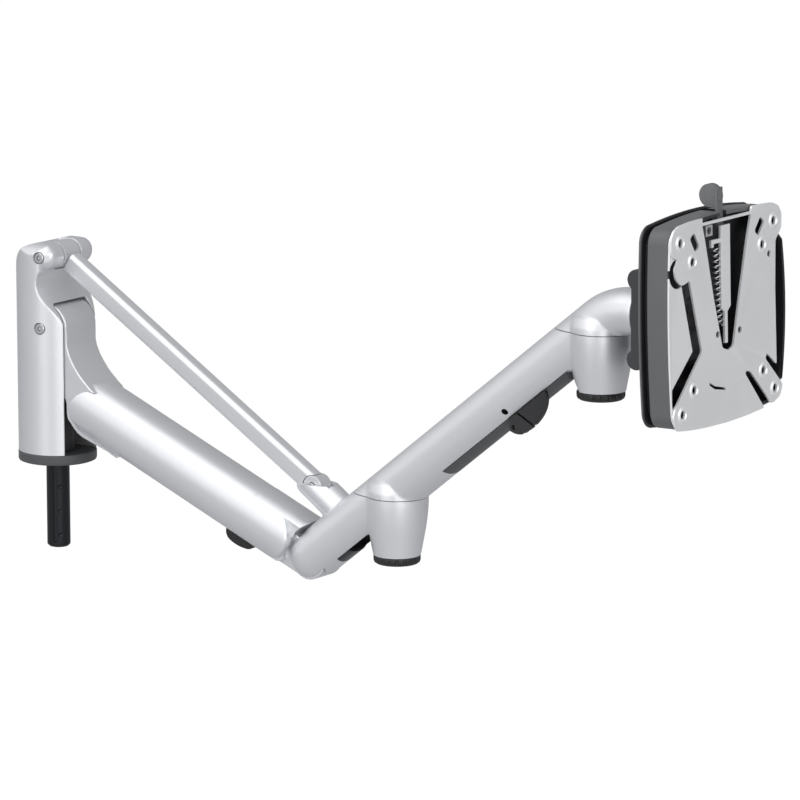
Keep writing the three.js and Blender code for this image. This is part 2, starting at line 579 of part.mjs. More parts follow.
// Half-round cable clip under the upper arm: a fixed seat and a gate hinged at its lower end.
const CLIP_HINGE_AT = localPoint(UPPER, CLIP.hingeS, CLIP.hingeP);
const CLIP_HINGE = { x: CLIP_HINGE_AT[0], z: CLIP_HINGE_AT[1] };

function clipOutline(fromDeg, toDeg) {
  const points = [];
  for (let i = 0; i <= 16; i += 1) {
    const angle = (fromDeg + (toDeg - fromDeg) * i / 16) * Math.PI / 180;
    points.push([CLIP.s + CLIP.halfLength * Math.cos(angle), CLIP.topP + CLIP.drop * Math.sin(angle)]);
  }
  return points;
}

function clipSolid(pairs, half, roof) {
  const blank = sideSlab(localSide(UPPER, pairs), -half, half);
  const roofP = CLIP.topP - roof;
  const floorP = CLIP.topP - 7.2;
  const cable = localSide(UPPER, [[150, roofP], [150, floorP], [250, floorP], [250, roofP]]);
  return blank.subtract(sideSlab(cable, -CLIP.bandHalf, CLIP.bandHalf));
}

function buildClipSeat() {
  const block = clipSolid([[CLIP.s - 1.6, CLIP.topP], [CLIP.s + 2.4, CLIP.topP - CLIP.drop + 0.2],
    ...clipOutline(-80, 0)], CLIP.half, CLIP.roof);
  const roofP = CLIP.topP - CLIP.roof;
  const strapSide = localSide(UPPER, [[CLIP.hingeS - 1.5, CLIP.topP], [CLIP.s + 3, CLIP.topP],
    [CLIP.s + 3, roofP], [CLIP.hingeS - 1.5, roofP]]);
  const strap = sideSlab(strapSide, -CLIP.lugHalf, CLIP.lugHalf);
  const lug = acrossPin(CLIP_HINGE, -CLIP.lugHalf, CLIP.lugHalf, 2.2);
  return join([block, strap, lug]).subtract(acrossPin(CLIP_HINGE, -20, 20, CLIP.pinR + GAP));
}

function buildClipGate() {
  const blank = clipSolid([[CLIP.s - 2.4, CLIP.topP - 0.3], [CLIP.s + 1.6, CLIP.topP - CLIP.drop + 0.1],
    ...clipOutline(-98, -180).slice(0, -1), [CLIP.s - CLIP.halfLength, CLIP.topP - 0.3]], CLIP.half, -2);
  const walls = clipSolid([[CLIP.hingeS, CLIP.topP - 0.4], [CLIP.s - 8, CLIP.topP - 0.4],
    [CLIP.s - 8, CLIP.topP - 9], [CLIP.hingeS, CLIP.topP - 6]], CLIP.half, -2);
  const turnRoom = sideSlab(localSide(UPPER, [[CLIP.hingeS, CLIP.topP + 2], [CLIP.hingeS - 12, CLIP.topP + 2],
    [CLIP.hingeS - 12, CLIP.hingeP - 1], [CLIP.hingeS, CLIP.hingeP - 1]]), -20, 20)
    .subtract(acrossPin(CLIP_HINGE, -20, 20, 2.2));
  const lugRoom = acrossPin(CLIP_HINGE, -CLIP.bandHalf, CLIP.bandHalf, 3.4);
  return cut(join([blank, walls]), [turnRoom, lugRoom, acrossPin(CLIP_HINGE, -20, 20, CLIP.pinR + GAP)]);
}
addPiece("clip_seat", buildClipSeat(), ...BLACK);
addPiece("clip_gate", buildClipGate(), ...BLACK);
addPiece("clip_pin", acrossPin(CLIP_HINGE, -CLIP.half + 0.3, CLIP.half - 0.3, CLIP.pinR, 16), ...STEEL);
addPiece("wrist_bush", swivelBush(WRIST.x, WRIST.seam), ...NYLON);
addPiece("wrist_ring", cupRing(WRIST.x, WRIST.seam), ...BLACK);

// ---------------------------------------------------------------- wrist head and tilt bracket
const WRIST_AXIS_Z = 142.8;
function buildWristHead() {
  const rising = slopedSweep(UPPER_SECTION, UPPER, 375, 429.6);
  const level = { slope: 0, axisX: 429.6, axisZ: WRIST_AXIS_Z };
  const outlet = slopedSweep(shapeOf(ovalPoints(15.6, 15.6, 2, 32)), level, 429.6, BRACKET.x0 - GAP);
  const knee = sideSlab(circleShape(429.6, WRIST_AXIS_Z, 15.5), -16.4, 16.4)
    .intersect(slopedSweep(shapeOf(ovalPoints(16, 15.6, 2.1, 32)), level, 400, 446));
  const body = join([rising, outlet, knee, footBody(WRIST.x, WRIST.seam)])
    .intersect(above(WRIST.seam + GAP / 2));
  const tools = [shaftSocket(WRIST.x, WRIST.seam)];
  for (const side of [-1, 1]) {
    tools.push(cylinderBetween([438, side * 8, WRIST_AXIS_Z], [470, side * 8, WRIST_AXIS_Z], 2.3, SMALL));
  }
  return cut(body, tools);
}
addPiece("wrist_head", buildWristHead(), ...SILVER);
addPiece("wrist_shaft", swivelShaft(WRIST.x, WRIST.seam), ...STEEL);

const TILT_PIN = { x: HEAD.pinX, z: HEAD.pinZ };
function buildBracket() {
  const plate = box(BRACKET.x0, BRACKET.x1, -BRACKET.half, BRACKET.half, BRACKET.lobeDown, BRACKET.lobeUp);
  const lobes = [BRACKET.lobeUp, BRACKET.lobeDown].map((z) =>
    acrossPin({ x: (BRACKET.x0 + BRACKET.x1) / 2, z }, -BRACKET.half, BRACKET.half, BRACKET.lobeR, MEDIUM)
      .intersect(box(BRACKET.x0 - 4, BRACKET.x1 + 1, -30, 30, 90, 190)));
  const ears = [-1, 1].map((side) => {
    const y0 = side > 0 ? TILT.earIn : -BRACKET.half;
    const y1 = side > 0 ? BRACKET.half : -TILT.earIn;
    const root = box(BRACKET.x1 - 1, TILT_PIN.x, y0, y1, TILT_PIN.z - TILT.earR, TILT_PIN.z + TILT.earR);
    return root.add(acrossPin(TILT_PIN, y0, y1, TILT.earR, MEDIUM));
  });
  const tools = [acrossPin(TILT_PIN, -30, 30, TILT.boreR)];
  for (const side of [-1, 1]) {
    tools.push(cylinderBetween([440, side * 8, WRIST_AXIS_Z], [470, side * 8, WRIST_AXIS_Z], 2.3, SMALL));
    tools.push(cylinderBetween([BRACKET.x1 - 2.4, side * 8, WRIST_AXIS_Z], [459, side * 8, WRIST_AXIS_Z], 4.3,
      SMALL));
  }
  return cut(join([plate, ...lobes, ...ears]), tools);
}
addPiece("tilt_bracket", buildBracket(), ...DARK);

function bracketScrew(y) {
  const shank = cylinderBetween([439, y, WRIST_AXIS_Z], [454.4, y, WRIST_AXIS_Z], 2, SMALL);
  const head = cylinderBetween([454.3, y, WRIST_AXIS_Z], [456.3, y, WRIST_AXIS_Z], 4, SMALL);
  const socket = cylinderBetween([455.2, y, WRIST_AXIS_Z], [460, y, WRIST_AXIS_Z], 1.5, 6);
  return shank.add(head).subtract(socket);
}
addPiece("bracket_screw_near", bracketScrew(-8), ...STEEL);
addPiece("bracket_screw_far", bracketScrew(8), ...STEEL);
addPiece("tilt_pin", acrossPin(TILT_PIN, -15.6, 15.6, TILT.pinR), ...STEEL);

// ---------------------------------------------------------------- tilting and turning head
const LEAN = new THREE.Matrix4().makeTranslation(HEAD.pinX, 0, HEAD.pinZ)
  .multiply(new THREE.Matrix4().makeRotationY(-HEAD.leanDeg * Math.PI / 180))
  .multiply(new THREE.Matrix4().makeTranslation(-HEAD.pinX, 0, -HEAD.pinZ));

function addHeadPiece(name, solid, colour, roughness, metalness) {
  addPiece(name, solid.transform(LEAN.elements), colour, roughness, metalness);
}

// Barrel-sided square face of the head; inset shrinks it evenly.
function headOutline(inset) {
  const s = 59.4 - inset;
  const bulge = 3.2;
  const r = 10 - inset * 0.2;
  const points = [];
  const corners = [[1, 1, 0], [-1, 1, 90], [-1, -1, 180], [1, -1, 270]];
  for (let i = 0; i < 4; i += 1) {
    const [u, v, start] = corners[i];
    points.push(...arcPoints(u * (s - r), v * (s - r), r, start + 4, start + 86, 6));
    const [nu, nv] = corners[(i + 1) % 4];
    for (const t of [0.25, 0.5, 0.75]) {
      const lift = bulge * 4 * t * (1 - t);
      const along = (1 - 2 * t) * (s - r);
      const out = s + lift * 0.9;
      if (u !== nu) {
        points.push([along * u, out * v]);
      } else {
        points.push([out * u, along * v]);
      }
    }
  }
  return points.map(([u, v]) => [u, v + HEAD.plateZ]);
}

function headSlab(inset, x0, x1, bevel = 0) {
  return faceSlab(shapeOf(headOutline(inset)), x0, x1, bevel);
}

function xCylinder(x0, x1, y, z, r, segments = MEDIUM) {
  return cylinderBetween([x0, y, z], [x1, y, z], r, segments);
}

const KNUCKLE_X1 = 474.8;
function buildKnuckle() {
  const r = TILT.knuckleR;
  const round = acrossPin(TILT_PIN, -10.5, 10.5, r, MEDIUM);
  const neck = box(TILT_PIN.x, KNUCKLE_X1 - 1, -10.5, 10.5, TILT_PIN.z - r, TILT_PIN.z + r);
  const flange = xCylinder(KNUCKLE_X1 - 2.6, KNUCKLE_X1, 0, HEAD.plateZ, 20);
  return cut(join([round, neck, flange]), [
    acrossPin(TILT_PIN, -30, 30, TILT.boreR),
    xCylinder(KNUCKLE_X1 - 4.5, 490, 0, HEAD.plateZ, 6.3),
  ]);
}
addHeadPiece("tilt_knuckle", buildKnuckle(), ...DARK);
addHeadPiece("roll_washer", xCylinder(KNUCKLE_X1 + GAP, KNUCKLE_X1 + 1.5, 0, HEAD.plateZ, 19)
  .subtract(xCylinder(470, 480, 0, HEAD.plateZ, 6.4)), ...NYLON);
addHeadPiece("roll_spindle", xCylinder(KNUCKLE_X1 - 4.2, 484.2, 0, HEAD.plateZ, 6, MEDIUM)
  .add(xCylinder(482, 486, 0, HEAD.plateZ, 10, MEDIUM))
  .subtract(xCylinder(484.5, 490, 0, HEAD.plateZ, 3, 6)), ...STEEL);

function buildHousingBack() {
  const lip = headSlab(0, 485.2, 489.6, 1);
  const hump = headSlab(16, KNUCKLE_X1 + 1.8, 486, 4);
  const pocket = headSlab(20, 481.6, 495);
  return cut(join([lip, hump]), [
    pocket,
    xCylinder(470, 500, 0, HEAD.plateZ, 6.4),
  ]);
}
addHeadPiece("housing_back", buildHousingBack(), ...DARK);

function buildHousingShell() {
  const waist = headSlab(3.4, 489.9, 494);
  const wall = headSlab(0.6, 493.2, 504.2);
  const pocket = headSlab(3, 495.4, 506);
  const opening = faceSlab(roundedRect(26, 26, 6), 480, 500).translate([0, 0, HEAD.plateZ]);
  const leverGate = box(490, 505.5, -3.6, 3.6, HEAD.plateZ + 50, HEAD.plateZ + 72);
  return cut(join([waist, wall]), [pocket, opening, leverGate]);
}
addHeadPiece("housing_shell", buildHousingShell(), ...DARK);

function lifted(points) {
  return points.map(([u, v]) => [u, v + HEAD.plateZ]);
}

const VESA_OUTLINE = [
  [-28, 61.4], [-41.2, 61], [-51.7, 60], [-56.6, 57.8], [-59.4, 53.3], [-59.4, 45.6], [-58.4, 43.6],
  [-52.9, 40.3], [-56.4, 35.5], [-54.8, 29.4], [-49.6, 25.3], [-44.4, 26], [-40.9, 27.4],
  [-28.5, -16.3], [-56.8, -44.6], [-59.3, -50], [-58.4, -54.8], [-55.3, -58.8], [-43.2, -60.2],
  [-25.7, -61.4], [-2.7, -62], [18.9, -61.4], [35.4, -60.2], [19.4, -36.6], [20.6, -35.2], [23.1, -36.2],
  [40.9, -59.6], [46.5, -58.8], [55.8, -55.5], [58.6, -50], [57.2, -46], [40.9, -29.5], [40.2, -28.8],
  [52.2, -39.6], [51.9, -19.9], [51.4, 10.2], [52.2, 38.2], [58.9, 44.9], [59.2, 53.5], [55.6, 58.4],
  [49, 60.8], [37.9, 61.4], [26.9, 61.6], [25.6, 57], [21, 42.5], [12.2, 9.9], [5.3, -17.7], [0, -19.6],
  [-6.6, -17.4], [-15.6, 14], [-23.8, 47.5], [-26.6, 57],
];
const HOLE_GRID = [100, 75];

function buildVesaPlate() {
  const back = HEAD.frontX - 1.9;
  let plate = faceSlab(shapeOf(lifted(VESA_OUTLINE)), back, HEAD.frontX);
  plate = plate.add(box(back, HEAD.frontX, -28, 27, HEAD.plateZ + 57, HEAD.plateZ + 58.6));
  const collars = [];
  const holes = [];
  for (const pitch of HOLE_GRID) {
    for (const su of [-1, 1]) {
      for (const sv of [-1, 1]) {
        const y = su * pitch / 2;
        const z = HEAD.plateZ + sv * pitch / 2;
        collars.push(xCylinder(HEAD.frontX - 0.5, HEAD.frontX + 0.8, y, z, 4.3, 16));
        holes.push(xCylinder(back - 2, HEAD.frontX + 3, y, z, 2.1, 12));
      }
    }
  }
  for (const [u, v, r] of [[45, 30.9, 1.3], [-11.5, -8.7, 1.5], [12.3, -9.4, 1.5]]) {
    holes.push(xCylinder(back - 2, HEAD.frontX + 3, u, HEAD.plateZ + v, r, 12));
  }
  for (const [u, v, turn] of [[-35, 48.4, 32], [34.6, 48.6, -40]]) {
    holes.push(faceSlab(roundedRect(1.7, 5, 1.6), back - 2, HEAD.frontX + 3)
      .rotate([turn, 0, 0]).translate([0, u, HEAD.plateZ + v]));
  }
  const smile = shapeOf(lifted([[-21, -35.4], [-15, -38.6], [-5.9, -41], [-5.9, -41.9], [-15.2, -39.8],
    [-21.4, -36.6]]));
  holes.push(faceSlab(smile, back - 2, HEAD.frontX + 3));
  return cut(join([plate, ...collars]), holes);
}
addHeadPiece("vesa_plate", buildVesaPlate(), ...STEEL);

function buildFixedPlate() {
  const x0 = HEAD.frontX - 3.4;
  const x1 = HEAD.frontX - 2.2;
  const plate = headSlab(0.4, x0, x1);
  const window = lifted([[-27, 54], [-47, 24.4], [-36.3, -15], [-57.4, -34.4], [-57.4, -44], [-20, -30],
    [20, -30], [38, -55], [46, -55], [26, -28], [57.6, -47], [59.6, -11], [58, 19], [57, 42], [50, 42],
    [46, -24], [12, -22], [26, 54]]);
  return plate.subtract(faceSlab(shapeOf(window), x0 - 2, x1 + 2));
}
addHeadPiece("fixed_plate", buildFixedPlate(), ...STEEL);

// ---------------------------------------------------------------- quick-release latch
const LATCH_X = 501.6;
function buildLever() {
  const strip = shapeOf(lifted([[-3, 74], [-3, 54], [-5, 52], [-5, 6], [-1.5, 3], [-1.5, -15.4],
    [1.5, -15.4], [1.5, 3], [5, 6], [5, 52], [3, 54], [3, 74]]));
  const body = faceSlab(strip, LATCH_X, LATCH_X + 1.5);
  const hook = faceSlab(shapeOf(lifted([[-3.4, 46.6], [-14.6, 46.6], [-14.6, 42.4], [-12.6, 42.4],
    [-12.6, 44.4], [-3.4, 44.4]].reverse())), LATCH_X, LATCH_X + 1.5);
  const tabCentre = { x: 494.6, z: HEAD.plateZ + 69 };
  const tab = acrossPin(tabCentre, -2, 2, 6.7, MEDIUM);
  const neck = box(tabCentre.x, LATCH_X + 1.5, -2, 2, HEAD.plateZ + 65.5, HEAD.plateZ + 74);
  return join([body, hook, tab, neck]);
}
addHeadPiece("release_lever", buildLever(), ...DARK);

function buildCoil() {
  const turns = 8;
  const perTurn = 8;
  const ring = 4;
  const wire = 0.5;
  const radius = 2.2;
  const top = new THREE.Vector3(500.6, -12.6, HEAD.plateZ + 39.6);
  const bottom = new THREE.Vector3(500.6, -9, HEAD.plateZ - 4);
  const axis = bottom.clone().sub(top);
  const across = new THREE.Vector3(1, 0, 0);
  const third = axis.clone().normalize().cross(across);
  const steps = turns * perTurn;
  const centreAt = (i) => {
    const angle = 2 * Math.PI * i / perTurn;
    return top.clone().addScaledVector(axis, i / steps)
      .addScaledVector(across, radius * Math.cos(angle)).addScaledVector(third, radius * Math.sin(angle));
  };
  const points = [];
  for (let i = 0; i <= steps; i += 1) {
    const centre = centreAt(i);
    const tangent = centreAt(i + 0.5).sub(centreAt(i - 0.5)).normalize();
    const spine = top.clone().addScaledVector(axis, i / steps);
    const outward = centre.clone().sub(spine).normalize();
    const side = tangent.clone().cross(outward).normalize();
    for (let k = 0; k < ring; k += 1) {
      const angle = 2 * Math.PI * k / ring;
      points.push(centre.clone().addScaledVector(outward, wire * Math.cos(angle))
        .addScaledVector(side, wire * Math.sin(angle)));
    }
  }
  const faces = [];
  for (let i = 0; i < steps; i += 1) {
    for (let k = 0; k < ring; k += 1) {
      const a = i * ring + k;
      const b = i * ring + (k + 1) % ring;
      faces.push(a, b, a + ring, b, b + ring, a + ring);
    }
  }
  for (let k = 1; k < ring - 1; k += 1) {
    const last = steps * ring;
    faces.push(0, k + 1, k);
    faces.push(last, last + k, last + k + 1);
  }
  const geometry = new THREE.BufferGeometry();
  geometry.setAttribute("position", new THREE.BufferAttribute(
    new Float32Array(points.flatMap((p) => [p.x, p.y, p.z])), 3));
  geometry.setIndex(faces);
  return toSolid(geometry);
}
addHeadPiece("latch_spring", buildCoil(), ...STEEL);

function buildSquareNut() {
  const nut = box(499.4, 503, -22.6, -15.2, HEAD.plateZ + 49.4, HEAD.plateZ + 55.8);
  return nut.subtract(xCylinder(490, 510, -18.9, HEAD.plateZ + 52.6, 2.1, 16));
}
addHeadPiece("square_nut", buildSquareNut(), ...STEEL);
addHeadPiece("latch_screw", xCylinder(495.8, 502.4, -18.9, HEAD.plateZ + 52.6, 1.8, 16), ...BLACK);

export default group;
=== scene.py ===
import math

import bmesh
import bpy
from mathutils import Matrix, Vector


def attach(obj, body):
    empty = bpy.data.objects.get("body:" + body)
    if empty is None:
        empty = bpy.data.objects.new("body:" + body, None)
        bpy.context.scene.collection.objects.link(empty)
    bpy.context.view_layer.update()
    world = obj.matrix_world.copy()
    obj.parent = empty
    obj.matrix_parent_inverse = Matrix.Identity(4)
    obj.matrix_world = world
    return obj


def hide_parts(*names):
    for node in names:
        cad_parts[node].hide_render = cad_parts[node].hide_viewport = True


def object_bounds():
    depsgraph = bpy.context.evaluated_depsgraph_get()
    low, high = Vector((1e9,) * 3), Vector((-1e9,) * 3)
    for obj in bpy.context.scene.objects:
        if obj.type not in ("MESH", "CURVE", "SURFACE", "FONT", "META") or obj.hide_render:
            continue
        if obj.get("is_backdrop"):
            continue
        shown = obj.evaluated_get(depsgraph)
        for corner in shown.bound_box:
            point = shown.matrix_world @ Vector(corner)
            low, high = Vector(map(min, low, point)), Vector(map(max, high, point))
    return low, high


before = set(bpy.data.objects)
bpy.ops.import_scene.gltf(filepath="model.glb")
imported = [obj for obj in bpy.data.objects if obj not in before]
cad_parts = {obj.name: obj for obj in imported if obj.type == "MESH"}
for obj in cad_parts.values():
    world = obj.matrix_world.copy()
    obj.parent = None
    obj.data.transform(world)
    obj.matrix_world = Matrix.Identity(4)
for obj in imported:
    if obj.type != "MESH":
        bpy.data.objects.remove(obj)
cad_low, cad_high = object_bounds()

# ------------------------------------------------------------------ plug-in spigot
# A turned steel pin, black oxide coated, that drops into a desk or wall socket.
# A milled groove and three drilled dimples down its side take the socket's set screw.
MM = 0.001
UPWARD = Vector((0, 0, 1))


def skin(name, rings, closed=False):
    """A mesh over rings of points in millimetres; open ends are capped."""
    count = len(rings[0])
    points = [Vector(p) * MM for ring in rings for p in ring]
    faces = []
    for i in range(len(rings) if closed else len(rings) - 1):
        here, there = i * count, (i + 1) % len(rings) * count
        for k in range(count):
            after = (k + 1) % count
            faces.append((here + k, here + after, there + after, there + k))
    if not closed:
        faces.append(tuple(range(count)))
        faces.append(tuple(range(len(points) - count, len(points))))
    mesh = bpy.data.meshes.new(name)
    mesh.from_pydata(points, [], faces)
    bm = bmesh.new()
    bm.from_mesh(mesh)
    bmesh.ops.recalc_face_normals(bm, faces=bm.faces)
    bm.to_mesh(mesh)
    bm.free()
    piece = bpy.data.objects.new(name, mesh)
    bpy.context.scene.collection.objects.link(piece)
    return piece


def arc(u, v, r, start, end, steps=24):
    turn = [math.radians(start + (end - start) * i / steps) for i in range(steps + 1)]
    return [(u + r * math.cos(a), v + r * math.sin(a)) for a in turn]


def turned(name, profile, at=(0, 0, 0), axis=UPWARD, sides=96, hollow=False):
    """Turned on a lathe: profile pairs are (radius, distance along the axis)."""
    axis = Vector(axis).normalized()
    side = axis.orthogonal().normalized()
    other = axis.cross(side)
    spokes = [side * u + other * v for u, v in arc(0, 0, 1, 0, 360, sides)[:-1]]
    return skin(name, [[Vector(at) + axis * t + s * r for s in spokes] for r, t in profile], hollow)


def slab(name, outline, across, up, along, start, end, at=(0, 0, 0)):
    """A flat outline carried from start to end along one direction."""
    at = Vector(at)
    flat = [at + across * u + up * v for u, v in outline]
    return skin(name, [[p + along * start for p in flat], [p + along * end for p in flat]])


def settle(piece):
    """Turns the piece's modifiers into its mesh."""
    graph = bpy.context.evaluated_depsgraph_get()
    made = bpy.data.meshes.new_from_object(piece.evaluated_get(graph), depsgraph=graph)
    piece.modifiers.clear()
    piece.data = made
    return piece


def combine(piece, others, how="DIFFERENCE"):
    for other in others:
        step = piece.modifiers.new("join", "BOOLEAN")
        step.operation = how
        step.solver = "MANIFOLD"
        step.object = other
    settle(piece)
    for other in others:
        bpy.data.objects.remove(other)
    return piece


def coat(name, colour, metal, rough, grain, height, shade=0.08, drawn=(1, 1, 1), worn=0.25):
    """A finish with fine grain, slow changes of tone and sheen, and lighter worn edges."""
    finish = bpy.data.materials.new(name)
    finish.use_nodes = True
    nodes, wires = finish.node_tree.nodes, finish.node_tree.links
    shader = nodes["Principled BSDF"]
    shader.inputs["Metallic"].default_value = metal
    place = nodes.new("ShaderNodeTexCoord")
    stretch = nodes.new("ShaderNodeMapping")
    stretch.inputs["Scale"].default_value = drawn
    wires.new(place.outputs["Object"], stretch.inputs["Vector"])
    fine, broad = nodes.new("ShaderNodeTexNoise"), nodes.new("ShaderNodeTexNoise")
    fine.inputs["Scale"].default_value = 1 / (grain * MM)
    fine.inputs["Detail"].default_value = 3
    broad.inputs["Scale"].default_value = 22
    broad.inputs["Detail"].default_value = 5
    wires.new(stretch.outputs["Vector"], fine.inputs["Vector"])
    wires.new(place.outputs["Object"], broad.inputs["Vector"])
    tone = nodes.new("ShaderNodeMix")
    tone.data_type = "RGBA"
    tone.inputs["A"].default_value = [c * (1 - shade) for c in colour] + [1]
    tone.inputs["B"].default_value = [min(1, c * (1 + shade)) for c in colour] + [1]
    wires.new(broad.outputs["Fac"], tone.inputs["Factor"])
    shape = nodes.new("ShaderNodeNewGeometry")
    edge = nodes.new("ShaderNodeMapRange")
    edge.inputs["From Min"].default_value = 0.52
    edge.inputs["From Max"].default_value = 0.62
    edge.inputs["To Max"].default_value = worn
    wires.new(shape.outputs["Pointiness"], edge.inputs["Value"])
    rub = nodes.new("ShaderNodeMix")
    rub.data_type = "RGBA"
    rub.inputs["B"].default_value = [min(1, c * 1.25 + 0.05) for c in colour] + [1]
    wires.new(edge.outputs["Result"], rub.inputs["Factor"])
    wires.new(tone.outputs["Result"], rub.inputs["A"])
    wires.new(rub.outputs["Result"], shader.inputs["Base Color"])
    sheen = nodes.new("ShaderNodeMapRange")
    sheen.inputs["To Min"].default_value = rough * 0.88
    sheen.inputs["To Max"].default_value = rough * 1.12
    wires.new(fine.outputs["Fac"], sheen.inputs["Value"])
    wires.new(sheen.outputs["Result"], shader.inputs["Roughness"])
    bump = nodes.new("ShaderNodeBump")
    bump.inputs["Strength"].default_value = 1.0
    bump.inputs["Distance"].default_value = height * MM
    wires.new(fine.outputs["Fac"], bump.inputs["Height"])
    wires.new(bump.outputs["Normal"], shader.inputs["Normal"])
    return finish


def fit(piece, body, slot, finish, *nodes, degrees=38):
    """Gives a finished piece its look and its body, and hides the CAD nodes that it stands for."""
    piece.data.materials.clear()
    piece.data.materials.append(finish)
    piece.data.shade_smooth()
    piece.data.set_sharp_from_angle(angle=math.radians(degrees))
    even = piece.modifiers.new("even", "WEIGHTED_NORMAL")
    even.keep_sharp = True
    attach(piece, body)
    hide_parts(*nodes)
    return piece


SPIGOT_R = 7.5
GROOVE_BEARING = math.radians(-66)
DIMPLE_BEARING = math.radians(-41)
black_oxide = coat("black_oxide_steel", (0.02, 0.021, 0.024), 0.7, 0.36, 0.5, 0.01, drawn=(1, 1, 9))

spigot = turned("plug_pin", [(5.4, -57.5), (6.1, -57.3), (7.3, -56.1), (SPIGOT_R, -55.6), (SPIGOT_R, -0.6),
                             (8, 0), (8, 35), (7, 36)])
out = Vector((math.cos(GROOVE_BEARING), math.sin(GROOVE_BEARING), 0))
groove = arc(0, -4.5, 1.5, 0, 180) + arc(0, -52.5, 1.5, 180, 360)
tools = [slab("groove", groove, UPWARD.cross(out), UPWARD, out, SPIGOT_R - 0.9, SPIGOT_R + 2)]
out = Vector((math.cos(DIMPLE_BEARING), math.sin(DIMPLE_BEARING), 0))
for z in (-17.4, -33.2, -49):
    tools.append(turned("dimple", [(0.5, SPIGOT_R - 1.1), (1.5, SPIGOT_R - 0.4), (1.6, SPIGOT_R + 2)],
                        (0, 0, z), out, 32))
fit(combine(spigot, tools), "base", "black_steel", black_oxide, "spigot_pin")

# ------------------------------------------------------------------ base ring
# The dark moulded washer between the column and its socket. It carries the weight
# while the arm swings, and is pushed over the spigot.
RING_R = 25.2
RING_TOP = 6.5
dark_moulding = coat("dark_grey_moulding", (0.062, 0.064, 0.068), 0.0, 0.46, 0.35, 0.02)
ring = turned("swivel_washer", [(8.4, 0.2), (8.8, 0), (23.8, 0), (24.8, 0.4), (RING_R, 1.3), (RING_R, 6),
                                (24.8, RING_TOP), (8.8, RING_TOP), (8.4, 6.2)], hollow=True, sides=144)
fit(ring, "base", "dark_plastic", dark_moulding, "base_ring")

# ------------------------------------------------------------------ column
# The die-cast aluminium post, powder coated silver. Its front is slotted for the lower
# arm, and its two ears at the top carry the link rod. It turns on the spigot.
ACROSS = Vector((0, 1, 0))
ALONG = Vector((1, 0, 0))
PIVOT_A = (6.2, 134.5)
PIVOT_B = (6.2, 89)
COLUMN_R = 25
COLUMN_FOOT = 6.8
SLOT_HALF = 15.6
SLOT_FAR = 16.9
silver_coat = coat("silver_powder_coat", (0.73, 0.735, 0.755), 0.75, 0.4, 0.5, 0.004, shade=0.025, worn=0.1)


def flow(points, per=6):
    """A smooth line through the points given."""
    first = (2 * points[0][0] - points[1][0], 2 * points[0][1] - points[1][1])
    last = (2 * points[-1][0] - points[-2][0], 2 * points[-1][1] - points[-2][1])
    ends = [first, *points, last]
    line = []
    for a, b, c, d in zip(ends, ends[1:], ends[2:], ends[3:]):
        for i in range(per):
            t = i / per
            line.append(tuple(
                0.5 * (2 * b[k] + (c[k] - a[k]) * t + (2 * a[k] - 5 * b[k] + 4 * c[k] - d[k]) * t * t
                       + (3 * b[k] - a[k] - 3 * c[k] + d[k]) * t ** 3) for k in (0, 1)))
    return [*line, tuple(points[-1])]


def side_slab(outline, low, high, name="side"):
    """An outline in (x, z), carried across the arm between two values of y."""
    return slab(name, outline, ALONG, UPWARD, ACROSS, low, high)


def face_slab(outline, low, high, name="face"):
    """An outline in (y, z), carried along the arm between two values of x."""
    return slab(name, outline, ACROSS, UPWARD, ALONG, low, high)


def block(x, y, z):
    return side_slab([(x[0], z[0]), (x[1], z[0]), (x[1], z[1]), (x[0], z[1])], *y)


def dowel(start, end, r, sides=48):
    start, end = Vector(start), Vector(end)
    return turned("dowel", [(r, 0), (r, (end - start).length)], start, end - start, sides)


def cross_pin(pivot, low, high, r, sides=64):
    """A pin or bore lying across the arm at a pivot."""
    return dowel((pivot[0], low, pivot[1]), (pivot[0], high, pivot[1]), r, sides)


def as_cast(piece, grain=0.55, passes=6):
    """Rounds every edge and corner as a casting's are, with one fine even mesh."""
    remesh = piece.modifiers.new("cast", "REMESH")
    remesh.mode = "VOXEL"
    remesh.voxel_size = grain * MM
    soften = piece.modifiers.new("soften", "SMOOTH")
    soften.factor = 0.5
    soften.iterations = passes
    return settle(piece)


scoop = [(20.4, 84.6), (19.6, 90.3), (17.2, 95.9), (13.6, 101), (8.8, 106.9), (5, 112.8), (4.2, 118.5),
         (5.8, 124.2), (9.6, 127.2)]
back = [(1, 143.1), (-5, 141.6), (-11, 138), (-16, 132.8), (-20, 126.5), (-23.4, 118.5), (-26, 108)]
column_side = ([(-26, 0), (26, 0), (26, 84)] + flow(scoop)
               + arc(*PIVOT_A, 8.6, -50, 90) + flow(back))
shoulder = arc(14.5, 131.5, 11.6, 0, 90) + arc(-14.5, 131.5, 11.6, 90, 180)
column = turned("column_post", [(COLUMN_R, 0), (COLUMN_R, 150)], sides=180)
combine(column, [side_slab(column_side, -30, 30),
                 face_slab([(-26, -5), (26, -5), *shoulder], -40, 40)], "INTERSECT")
barrel = [(2, -23.8), (4.6, -23), (6.9, -21.4), (8.2, -19.2), (8.6, -16.4)]
barrel += [(r, -y) for r, y in reversed(barrel)]
ear_form = turned("ears", barrel, (PIVOT_A[0], 0, PIVOT_A[1]), ACROSS)
combine(ear_form, [block((-40, PIVOT_A[0]), (-40, 40), (-20, 160)), block((0, 40), (-40, 40), (-20, 124))],
        "UNION")
combine(column, [ear_form], "INTERSECT")
